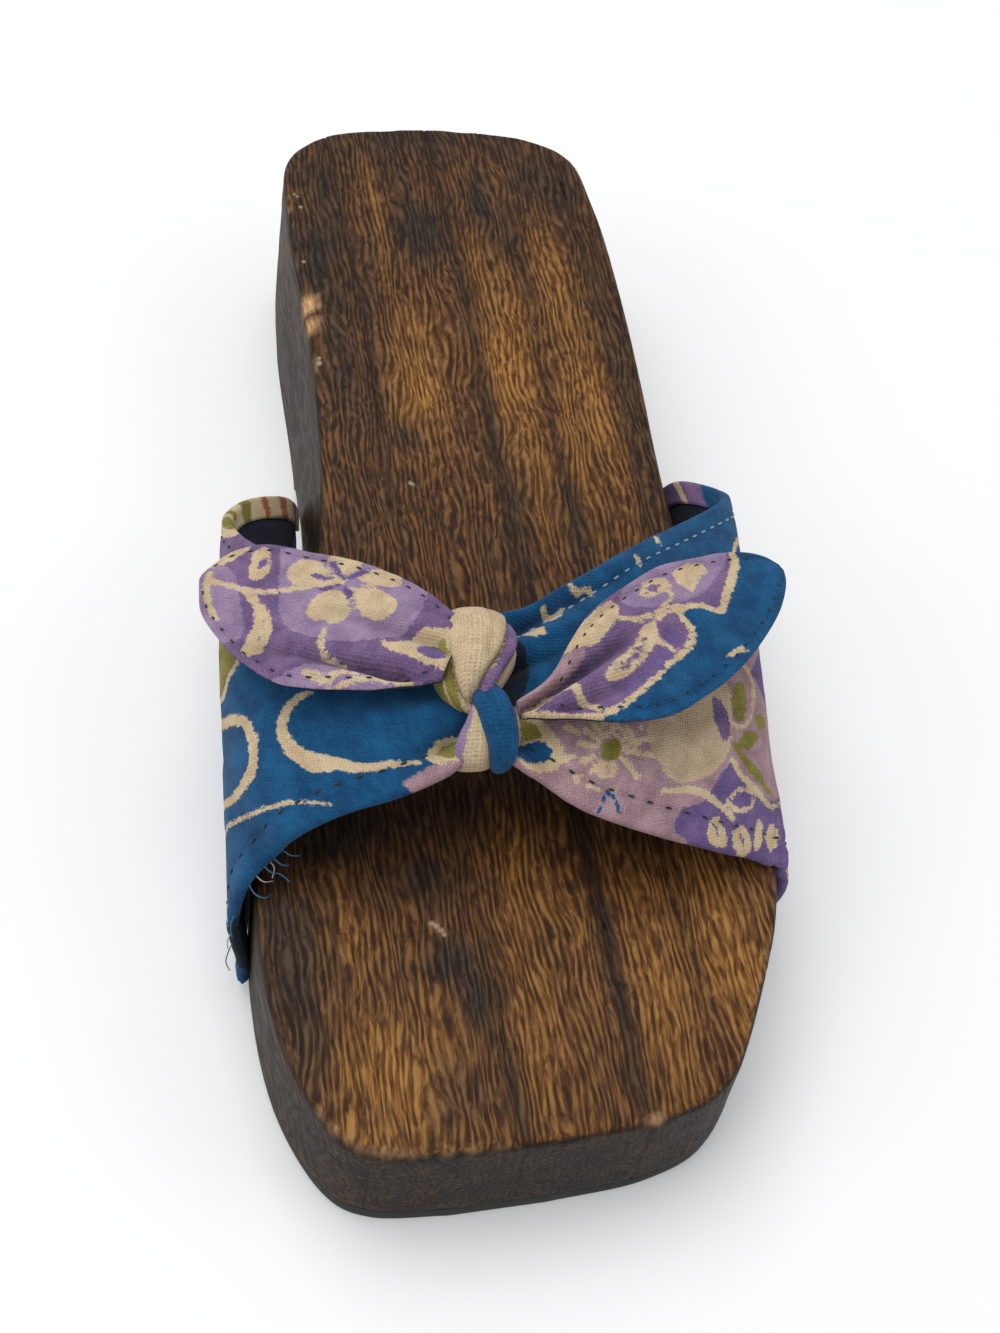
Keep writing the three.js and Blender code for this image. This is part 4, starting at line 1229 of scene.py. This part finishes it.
def sew(maker, line, outs, length, gap, radius, sunk=0.1):
    """A row of short stitches along a line of places on the cloth; outs point out of the cloth there."""
    line, outs = np.array(line), np.array(outs)
    run = np.concatenate([[0.0], np.cumsum(np.linalg.norm(np.diff(line, axis=0), axis=1))])
    for k in range(int(run[-1] / (length + gap))):
        middle = (k + 0.5) * (length + gap)
        start, end, out = [
            Vector([float(np.interp(at, run, rows[:, c])) for c in range(3)])
            for at, rows in ((middle - length / 2, line), (middle + length / 2, line), (middle, outs))
        ]
        along = (end - start).normalized()
        side = out.cross(along).normalized()
        over = along.cross(side)
        frame_of_stitch = Matrix((side * radius, over * radius, along * length / 2)).transposed().to_4x4()
        place = (start + end) / 2 + over * (radius - sunk)
        frame_of_stitch.translation = place
        bmesh.ops.create_uvsphere(maker, u_segments=6, v_segments=5, radius=1.0, matrix=frame_of_stitch)


STITCH_LIFT = 0.25  # the cotton's face, out from its own middle


def band_line(columns, inset, rear):
    """A line on the strap's outside, inset from one edge, with the directions out of the cloth."""
    line, outs = [], []
    numbers = np.arange(STRAP_ACROSS + 1)
    for i in columns:
        j = inset / band_depth[i, 0] * STRAP_ACROSS
        j = j if rear else STRAP_ACROSS - j
        at = [np.interp(j, numbers, band_folded[i, :, k]) for k in range(3)]
        out = [np.interp(j, numbers, band_out[i, :, k]) for k in range(3)]
        line.append(np.array(at) + np.array(out) * (COTTON_OUT + STITCH_LIFT))
        outs.append(out)
    return line, outs


KNOT_GAP = 13  # columns at each side of the knot that have no stitches
middle_number = STRAP_ALONG // 2
left_columns = range(4, middle_number - KNOT_GAP)
right_columns = range(middle_number + KNOT_GAP, STRAP_ALONG - 3)
stitch_maker = bmesh.new()
for columns, rear in ((left_columns, False), (right_columns, False), (left_columns, True)):
    sew(stitch_maker, *band_line(columns, HEM_STITCH, rear), length=1.3, gap=2.6, radius=0.24)
hem_stitches = add_object("strap_hem_stitches", in_frame(stitch_maker), [navy_thread])
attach(hem_stitches, "root")
pale_maker = bmesh.new()
sew(pale_maker, *band_line(right_columns, HEM_STITCH, True), length=1.5, gap=1.6, radius=0.26)
pale_stitches = add_object("strap_rear_stitches", in_frame(pale_maker), [pale_thread])
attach(pale_stitches, "root")


def add_yarn(maker, points, radius=0.12):
    """A thin loose yarn through given points."""
    path = smooth_path(points, per_span=6)
    ring = bmesh.ops.create_circle(maker, segments=5, radius=radius, cap_ends=True)["verts"]
    turn = Vector(path[-1] - path[0]).to_track_quat("Z", "Y").to_matrix().to_4x4()
    bmesh.ops.transform(maker, matrix=Matrix.Translation(path[0]) @ turn, verts=ring)
    edges = list({edge for vert in ring for edge in vert.link_edges})
    for last, here in zip(path, path[1:]):
        grown = bmesh.ops.extrude_edge_only(maker, edges=edges)["geom"]
        new_verts = [part for part in grown if isinstance(part, bmesh.types.BMVert)]
        edges = [part for part in grown if isinstance(part, bmesh.types.BMEdge)]
        edges = [e for e in edges if e.verts[0] in new_verts and e.verts[1] in new_verts]
        bmesh.ops.translate(maker, verts=new_verts, vec=Vector(here - last))
    bmesh.ops.contextual_create(maker, geom=edges)
    bmesh.ops.recalc_face_normals(maker, faces=maker.faces)


# Yarns frayed out of the worn front hem at the left.
FRAYED_TEAL = [
    [(-54.5, 52.5, 33.5), (-52.4, 50.6, 32.0), (-50.8, 50.9, 30.6), (-49.2, 49.8, 29.6)],
    [(-53.0, 53.0, 35.0), (-50.6, 51.4, 33.0), (-49.2, 52.0, 31.4)],
    [(-56.6, 51.2, 30.0), (-55.4, 48.6, 28.8), (-53.6, 48.2, 27.6), (-52.4, 49.2, 27.0)],
    [(-51.5, 53.6, 36.4), (-49.2, 52.4, 34.4), (-47.4, 52.9, 32.8)],
    [(-58.6, 48.6, 23.5), (-59.6, 46.6, 21.4), (-59.4, 45.4, 19.6)],
    [(-59.6, 46.8, 14.0), (-60.6, 44.8, 12.2), (-60.0, 43.8, 10.4)],
]
FRAYED_WHITE = [
    [(-53.8, 52.8, 34.2), (-51.8, 51.6, 32.0), (-52.2, 50.4, 30.4)],
    [(-55.8, 51.8, 31.6), (-53.8, 50.0, 30.2), (-52.0, 50.6, 29.0)],
    [(-59.0, 48.0, 19.0), (-60.2, 46.0, 17.2), (-60.2, 45.4, 15.6)],
]
for name, thread, paths in (
    ("frayed_yarns_teal", teal_thread, FRAYED_TEAL), ("frayed_yarns_white", white_thread, FRAYED_WHITE),
):
    yarn_maker = bmesh.new()
    for points in paths:
        add_yarn(yarn_maker, points)
    made = add_object(name, in_frame(yarn_maker), [thread])
    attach(made, "root")

# ---- Bow tails ----------------------------------------------------------------------
# Two leaf-shaped tails stand out from the knot. Each is two leaves of cotton, printed above
# and navy below, sewn together, turned and stitched round the edge, and creased by the knot.

LEFT_TAIL = {
    "root": (-22.0, 79.0, 56.6), "tip": (-60.5, 99.7, 50.4), "droop": 2.0,
    # along the tail, rear edge, front edge, thickness
    "rows": [
        (-4.0, 5.5, -7.5, 4.0), (5.0, 10.4, -12.4, 3.6), (14.0, 13.3, -15.2, 3.0),
        (22.0, 14.1, -16.3, 2.4), (31.0, 14.2, -13.2, 2.4), (38.0, 13.4, -8.4, 2.4),
        (42.5, 10.6, -4.0, 2.2), (44.8, 6.6, 0.4, 1.8), (45.8, 4.2, 2.6, 1.0),
    ],
    "folds": [
        (-2.6, 1.3, [(-6, -8.5), (2, -9.6), (12, -9.2), (24, -9.6), (34, -10.8)]),
        (1.3, 2.2, [(-6, -11), (6, -12.4), (18, -13), (28, -12.6)]),
        (1.0, 2.6, [(-4, -6), (10, -6), (24, -5)]),
        (-1.3, 1.5, [(-5, -1), (4, -0.5), (14, 1), (24, 3)]),
        (0.5, 2.4, [(-4, 4), (8, 7), (20, 9)]),
        (-0.9, 1.3, [(-5, 5), (4, 6), (14, 8)]),
    ],
}
RIGHT_TAIL = {
    "root": (-7.0, 68.5, 56.4), "tip": (46.0, 88.5, 53.0), "droop": 1.2,
    "rows": [
        (-4.0, -2.0, -5.4, 2.8), (4.0, 0.2, -9.2, 3.6), (12.0, 5.8, -13.2, 3.2),
        (19.0, 10.0, -15.1, 2.6), (28.0, 13.0, -14.0, 2.4), (38.0, 14.6, -11.2, 2.4),
        (47.0, 13.6, -6.8, 2.4), (54.0, 12.2, -2.2, 2.4), (58.4, 9.4, 2.2, 2.0), (59.9, 7.0, 4.8, 1.0),
    ],
    "folds": [
        (-3.2, 1.3, [(-6, -4.4), (3, -3.0), (12, -0.8), (22, 2.6), (32, 5.4)]),
        (2.0, 1.7, [(-6, -1), (4, 1.8), (14, 4.6), (26, 8)]),
        (1.4, 1.7, [(-4, -5.4), (8, -3.6), (18, -2.6), (27, 0.8)]),
        (-1.4, 1.1, [(-5, -6.6), (4, -7.2), (14, -6.8), (24, -4.6)]),
        (-0.5, 0.8, [(6, 3.0), (16, 7.4), (28, 11.2), (40, 12.6), (50, 11.6)]),
        (0.6, 2.6, [(10, -11), (22, -11), (34, -8)]),
    ],
}
LEFT_TAIL_PRINT = [
    ("lilac", "blob", [(34, 13), (30, 3), (26, -4), (15, -5), (6, 0), (6, 12), (12, 16), (26, 16)]),
    ("lilac", "blob", [(48, 4), (44, -4), (38, -10), (33, -9), (36, -2), (42, 6)]),
    ("lilac", "blob", [(24, -16.5), (18, -12), (4, -11), (-6, -9), (-6, -14), (10, -18)]),
    ("cream", "blob", [(31, 9.5), (29.5, 11.8), (26.5, 12), (23.6, 10.2), (21.8, 9), (22.6, 7.6),
                       (25, 5.4), (28.5, 5.2), (30.6, 7)]),
    ("cream", "blob", [(20.5, 6.2), (18.6, 4.8), (16.6, 2.6), (16.6, 0), (18.4, -2), (20.2, -1.2),
                       (22, -2), (24, 0), (24, 2.6), (22.4, 4.8)]),
    ("cream", "blob", [(18.4, 7.4), (15, 7.8), (11.6, 7.4), (9, 5.6), (9.2, 3), (11.4, 1.4), (14.4, 2),
                       (16.8, 4.8)]),
    ("cream", "blob", [(18.4, 9.4), (17.6, 11.6), (15, 13.2), (11.6, 12.8), (10, 10.6), (11.6, 8.8),
                       (15, 8.6)]),
    ("cream", "blob", [(19.8, 9.8), (18.4, 12.6), (19.6, 15), (23.6, 15), (25, 12.8), (23.4, 11),
                       (21.4, 9.8)]),
    ("violet", "rays", (20.4, 8.2), (5, 0.4, 5.2, 0.75)),
    ("cream", "brush", [(20.0, 8.0), (20.8, 8.4)], (0.5, 0.5, 0.5)),
    ("cream", "blob", [(38.8, 11), (36.8, 13), (34.8, 9.6), (33.8, 6.6), (36, 4), (37.6, 6.2),
                       (38.2, 8.6)]),
    ("violet", "blob", [(36.8, 9.8), (35.6, 10), (35.2, 8.0), (36.2, 7.2)]),
    ("cream", "blob", [(47, 5), (44.6, 9), (42.4, 12.6), (39.8, 12.6), (41, 9.2), (43.2, 6.2)]),
    ("cream", "brush", [(44, 2.6), (38, 1.7), (32, 2.4), (27, 4.6), (23, 6.8),
                        (21, 8)], (0.6, 0.6, 0.8)),
    ("cream", "brush", [(37, 1.6), (33, -1.2), (31, -5), (30.6, -9)], (0.5, 0.8, 0.9)),
    ("cream", "brush", [(34, 0.6), (30.6, -2.6), (28.8, -6), (28.6, -9)], (0.5, 0.7, 0.9)),
    ("cream", "blob", [(31.6, -8.6), (31.4, -11.4), (29, -12), (27.8, -9.8), (29.6, -8.4)]),
    ("cream", "brush", [(44.4, 4), (43.6, 1), (41.6, -2.6), (38.6, -5.8)], (0.7, 0.7, 0.4)),
    ("cream", "brush", [(19.2, -3.8), (18.6, -6.6), (17, -8.4), (13, -9.2)], (0.6, 0.6, 0.4)),
    ("cream", "blob", [(9, -3), (6.4, -3.6), (4.2, -1.4), (3, 1.2), (0.6, 2.2), (-3, 2), (-4, -6),
                       (3, -6), (8, -5)]),
    ("violet", "blob", [(2.4, -3.2), (0.6, -1.4), (-3, -1.6), (-3, -4.6), (1, -4.8)]),
    ("cream", "brush", [(18.4, -13.6), (14.4, -14), (13, -12.2), (10, -11.4)], (0.7, 0.8, 0.4)),
    ("cream", "brush", [(13.6, -15.6), (10, -12.8), (5, -10.9), (1, -10.2)], (0.4, 0.6, 0.8)),
    ("teal", "blob", [(-2, 8), (-6, 9), (-6, 5), (-2, 6)]),
]
RIGHT_TAIL_PRINT = [
    ("cream", "blob", [(-8, -5), (0, -7.6), (6, -10.8), (12, -11.2), (20, -8.8), (27, -6), (30.6, -5),
                       (34, -2.4), (34.6, 0.6), (34.4, 2.6), (36.4, 3.2), (38.6, 2.4), (41.6, 0),
                       (45, 2.6), (49, 6), (52.8, 10.4), (53, 14), (44, 16), (30, 15), (10, 8),
                       (-8, 2)]),
    ("purple", "blob", [(-8, -4.4), (0, -6.4), (6, -9.6), (12, -10), (20, -7.6), (27, -4.8),
                        (30, -3.8), (32.8, -1.6), (33.2, 1), (33.2, 3.6), (36.4, 4.6), (39.2, 3.6),
                        (41.6, 1.6), (44, 3.8), (47.6, 7), (51.2, 11), (52, 14), (44, 16), (30, 15),
                        (10, 8), (-8, 2)]),
    ("lilac", "blob", [(30, 15), (44, 15), (51, 12.6), (47, 9), (40, 6), (34, 6), (26, 9)]),
    ("violet", "blob", [(14, -8.6), (20, -7), (27, -4.4), (31, -2), (30, 1), (24, -3.6), (16, -6.4)]),
    ("mauve", "blob", [(-7, -4.4), (0, -2.6), (6, -1), (12, 2), (12, 5), (8, 5), (0, 2), (-7, -1)]),
    ("cream", "blob", [(9, 3), (14, 2.6), (20, 5), (23, 7), (24.6, 10.6), (20, 10), (12, 6)]),
    ("cream", "brush", [(-4, -4.8), (3, -3.6), (6, -4.6), (6.4, -7), (8, -9.4)], (0.9, 0.9, 0.6)),
    ("cream", "blob", [(12, -4.6), (16, -2), (22, 0.4), (26, 3.4), (28.4, 3.6), (27, 0), (24, -2.2),
                       (19, -4.6), (14, -5.4)]),
    ("purple", "brush", [(15.4, -3.9), (20, -2.4), (25, 0.6)], (0.35, 0.6, 0.3)),
    ("cream", "brush", [(26.2, 2.6), (27, -1), (28.4, -4.6)], (0.4, 0.7, 0.5)),
    ("cream", "blob", [(39.6, 6.6), (38, 9), (38.4, 12), (41, 13), (44.6, 12.4), (45, 10), (42, 8.6)]),
    ("cream", "blob", [(29, 10), (31, 8.6), (35, 9), (36, 11.6), (33, 12.6)]),
    ("purple", "blob", [(31, 9.8), (33, 9.4), (34.4, 10.6), (32.6, 11.2)]),
    ("cream", "brush", [(36, 11), (34.8, 7), (31, 5.2), (25, 5.2), (22, 6.4)], (0.5, 0.55, 0.5)),
    ("cream", "brush", [(35, 4.6), (31, 4.6), (29, 3)], (0.4, 0.7, 0.4)),
    ("cream", "brush", [(37, -8.6), (40, -8), (41.6, -8.8)], (0.4, 0.6, 0.2)),
]
TAIL_ALONG = 84
TAIL_ACROSS = 44
TAIL_STITCH = 1.6  # from the tail's edge to the row of stitches
TAIL_PULL, TAIL_DIP = 0.25, 0.6  # how deep and how wide the stitches pull the cloth in
TAIL_RUMPLE = [(0.12, 0.12, 5.0, 0.5), (0.4, 0.4, 1.0, 0.16)]
TAIL_FULLNESS, TAIL_BULGE = 0.6, 0.8
FOLDS_FADE, FOLDS_LEFT = 2.0, 0.15  # the folds die away this near the edge, down to this share


def fuller(part, power):
    """Swells the sine or cosine of a round section; a power under 1 fills it out towards a box."""
    return math.copysign(abs(part) ** power, part)


def make_tail(name, node_name, tail, ground, motifs):
    """One tail: a thin closed cushion from root to tip, printed above and navy below."""
    root, tip = Vector(tail["root"]), Vector(tail["tip"])
    axis = (tip - root).normalized()
    length = (tip - root).length
    across = Vector((0.0, 0.0, 1.0)).cross(axis).normalized()
    across *= 1 if across.y > 0 else -1
    rear = [Vector((along, edge, thick)) for along, edge, _, thick in tail["rows"]]
    front = [Vector((along, edge, thick)) for along, _, edge, thick in tail["rows"]]
    rows, uvs = [], []
    for i in range(TAIL_ALONG + 1):
        a, b = curve_at(rear, i / TAIL_ALONG), curve_at(front, i / TAIL_ALONG)
        row, row_uv = [], []
        for j in range(2 * TAIL_ACROSS + 1):
            angle = math.pi * j / TAIL_ACROSS
            t = 0.5 - 0.5 * math.cos(angle)
            along, side = mix(a.x, b.x, t), mix(a.y, b.y, t)
            row.append([along, side, fuller(math.sin(angle), TAIL_FULLNESS) * a.z / 2 * TAIL_BULGE])
            row_uv.append((along, side))
        rows.append(row)
        uvs.append(row_uv)
    flat = np.array(rows)
    rear_side, front_side = flat[:, :1, 1], flat[:, TAIL_ACROSS:TAIL_ACROSS + 1, 1]
    edge_gap = np.minimum(rear_side - flat[:, :, 1], flat[:, :, 1] - front_side)
    lift = fold_height(flat[:, :, 0], flat[:, :, 1], tail["folds"])
    lift *= np.clip(edge_gap / FOLDS_FADE, FOLDS_LEFT, 1.0)
    stitch_row = np.exp(-(((edge_gap - TAIL_STITCH) / TAIL_DIP) ** 2))
    lift -= TAIL_PULL * np.sign(flat[:, :, 2]) * stitch_row
    for i in range(flat.shape[0]):
        for j in range(flat.shape[1]):
            lift[i, j] += rumple_at(*flat[i, j, :2], TAIL_RUMPLE)
    height = flat[:, :, 2] + lift - tail["droop"] * (flat[:, :, 0] / length) ** 2
    places = []
    for i in range(flat.shape[0]):
        row = []
        for j in range(flat.shape[1]):
            on_plane = root + axis * flat[i, j, 0] + across * flat[i, j, 1]
            row.append(on_plane + Vector((0.0, 0.0, height[i, j])))
        places.append(row)
    maker = cloth_from_rows(places, uvs, lift)
    bmesh.ops.remove_doubles(maker, verts=maker.verts, dist=1e-6)
    bmesh.ops.holes_fill(maker, edges=[e for e in maker.edges if e.is_boundary], sides=0)
    bmesh.ops.recalc_face_normals(maker, faces=maker.faces)
    for face in maker.faces:
        face.material_index = 0 if face.normal.z > 0 else 1
    made = add_object(name, maker, [ground, navy_cotton])
    paint_print(made, motifs)
    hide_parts(node_name)
    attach(made, "root")
    return made, np.array(places), flat


def tail_line(places, flat, inset, rear):
    """A line of places on a tail's upper side, inset from one long edge."""
    line, outs = [], []
    numbers = np.arange(places.shape[1])
    for i in range(2, TAIL_ALONG + 1):
        width = flat[i, 0, 1] - flat[i, TAIL_ACROSS, 1]
        if width < 3 * inset:
            continue
        j = math.acos(1 - 2 * inset / width) / math.pi * TAIL_ACROSS
        j = j if rear else TAIL_ACROSS - j
        line.append([np.interp(j, numbers, places[i, :, k]) for k in range(3)])
        outs.append((0.0, 0.0, 1.0))
    return line, outs


for tail_name, node_name, tail, ground, motifs, inset, cut, cut_area in (
    (
        "bow_tail_left_cloth", "bow_tail_left", LEFT_TAIL, purple_print, LEFT_TAIL_PRINT, 1.7,
        (0.031, 0.050), 0.00135,
    ),
    (
        "bow_tail_right_cloth", "bow_tail_right", RIGHT_TAIL, teal_print, RIGHT_TAIL_PRINT, 2.2,
        (0.030, 0.065), 0.00145,
    ),
):
    made, places, flat = make_tail(tail_name, node_name, tail, ground, motifs)
    tail_maker = bmesh.new()
    for rear in (True, False):
        sew(tail_maker, *tail_line(places, flat, inset, rear), length=1.1, gap=2.4, radius=0.2)
    tail_stitches = add_object(node_name + "_stitches", in_frame(tail_maker), [navy_thread])
    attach(tail_stitches, "root")

# ---- Knot ---------------------------------------------------------------------------
# The knot is the middle of the bow's own cloth: a cream loop pulled over the top, a tight
# teal roll below it that goes round the strap's front edge, and a cream end under the roll.

# Along each loop: the middle's place, half width, height of the bulge.
CREAM_LOOP = [
    ((-15.8, 66.4, 52.8), 0.9, 0.8), ((-16.5, 68.0, 53.0), 2.8, 2.4), ((-16.7, 70.2, 53.3), 4.7, 4.3),
    ((-16.0, 73.2, 53.4), 6.3, 5.9), ((-15.1, 76.4, 53.4), 7.1, 6.7), ((-14.4, 79.4, 52.8), 7.0, 6.7),
    ((-14.1, 82.0, 51.8), 6.6, 6.3), ((-14.0, 84.2, 50.4), 6.2, 5.3), ((-13.9, 85.8, 48.2), 6.0, 3.8),
    ((-13.9, 86.2, 45.6), 5.4, 2.4),
]
TEAL_ROLL = [
    ((-15.4, 71.6, 52.4), 1.4, 1.2), ((-14.6, 69.2, 54.0), 2.2, 2.0), ((-13.8, 66.6, 54.6), 2.8, 2.6),
    ((-13.2, 63.8, 54.2), 2.9, 3.0), ((-12.8, 61.2, 52.2), 2.6, 3.0), ((-12.7, 59.6, 49.4), 2.1, 2.7),
    ((-12.8, 59.4, 46.8), 1.3, 1.7),
]
CREAM_END = [
    ((-16.0, 67.4, 53.2), 0.8, 0.8), ((-16.4, 65.0, 53.4), 1.6, 1.6), ((-17.0, 62.4, 52.0), 2.6, 2.0),
    ((-17.4, 60.4, 49.6), 3.3, 2.0), ((-17.6, 59.9, 46.8), 3.3, 1.6),
]
CREAM_LOOP_PRINT = [
    ("olive", "blob", [(-8.6, 0), (-3.4, 0.6), (-3.6, 5), (-5.2, 9.6), (-6.8, 12.5), (-10.4, 11)]),
    ("cream", "brush", [(-4.9, 1), (-5.8, 6), (-7.6, 11)], (0.2, 0.4, 0.2)),
    ("purple", "brush", [(0.4, 1.5), (4.6, 6), (7.4, 12), (8.6, 22)], (0.6, 1.0, 1.1)),
    ("cream", "brush", [(5.0, 9.0), (6.4, 11.4)], (0.3, 0.5, 0.3)),
    ("lilac", "blob", [(10.2, 12), (16, 12), (16, 28), (10.6, 28)]),
]
CREAM_LOOP_FOLDS = [
    (-1.6, 0.65, [(-1.0, 1), (2.4, 6), (5.2, 11), (6.6, 17), (6.9, 25)]),
    (-1.2, 0.7, [(-0.6, 0), (-2.4, 3), (-4.0, 7), (-5.2, 12), (-5.6, 18)]),
    (0.7, 1.2, [(-0.6, 3), (-1.0, 9), (-0.8, 18)]),
    (-1.1, 0.55, [(2.6, 1.5), (6.8, 6.5), (9.6, 12), (10.4, 20)]),
    (0.9, 0.8, [(1.2, 2), (5.0, 7), (7.8, 12), (8.6, 19)]),
    (-0.5, 0.5, [(1.4, 8), (2.2, 14), (2.2, 20)]),
]
ROLL_FOLDS = [
    (-0.5, 0.7, [(-1.4, 0), (-0.6, 6), (0.4, 12), (0.6, 20)]),
    (0.3, 1.0, [(1.4, 0), (1.8, 8), (1.6, 16)]),
]
LOOP_ALONG = 48
LOOP_AROUND = 56
LOOP_STEP = 0.02
LOOP_FULLNESS = 0.8
LOOP_RUMPLE = [(0.35, 0.2, 2.0, 0.25)]


def make_loop(name, rows_table, ground, motifs, folds, wrap):
    """
    A gathered loop: half round sections along a line and square to it, that turn under at both sides by
    wrap degrees.
    """
    middles = [Vector(row[0]) for row in rows_table]
    shape = [Vector((row[1], row[2], 3.0 * k)) for k, row in enumerate(rows_table)]
    rearward = 1 if middles[-1].y > middles[0].y else -1
    rows, uvs, outs = [], [], []
    travelled = 0.0
    last = middles[0]
    sideways = Vector((1.0, 0.0, 0.0))
    for i in range(LOOP_ALONG + 1):
        t = i / LOOP_ALONG
        here = curve_at(middles, t)
        ahead = curve_at(middles, min(1.0, t + LOOP_STEP)) - curve_at(middles, max(0.0, t - LOOP_STEP))
        travelled += (here - last).length
        last = here
        up = sideways.cross(ahead).normalized() * rearward
        half, high = curve_at(shape, t).xy
        row, row_uv, row_out = [], [], []
        for j in range(LOOP_AROUND + 1):
            angle = math.radians(mix(180 + wrap, -wrap, j / LOOP_AROUND))
            out = sideways * math.cos(angle) + up * math.sin(angle)
            spread = fuller(math.cos(angle), LOOP_FULLNESS)
            rise = fuller(math.sin(angle), LOOP_FULLNESS)
            row.append(here + sideways * half * spread + up * high * rise)
            row_uv.append(((math.pi / 2 - angle) * (half + high) / 2, travelled))
            row_out.append(out)
        rows.append(row)
        uvs.append(row_uv)
        outs.append(row_out)
    places = np.array(uvs)
    lift = fold_height(places[:, :, 0], places[:, :, 1], folds)
    for i, row in enumerate(rows):
        for j, place in enumerate(row):
            row[j] = place + outs[i][j] * (lift[i, j] + rumple_at(*places[i, j], LOOP_RUMPLE))
    made = add_object(name, cloth_from_rows(rows, uvs, lift), [ground])
    paint_print(made, motifs)
    add_thickness(made, COTTON_THICKNESS)
    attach(made, "root")
    return made


cream_loop = make_loop("knot_cream_loop", CREAM_LOOP, cream_print, CREAM_LOOP_PRINT, CREAM_LOOP_FOLDS, 35)
teal_roll = make_loop("knot_teal_roll", TEAL_ROLL, teal_print, [], ROLL_FOLDS, 80)
cream_end = make_loop("knot_cream_end", CREAM_END, cream_print, [
    ("lilac", "blob", [(-6, -2), (-1.4, -2), (-1.8, 6), (-2.8, 12), (-8, 12)]),
], [], 30)
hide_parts("knot")
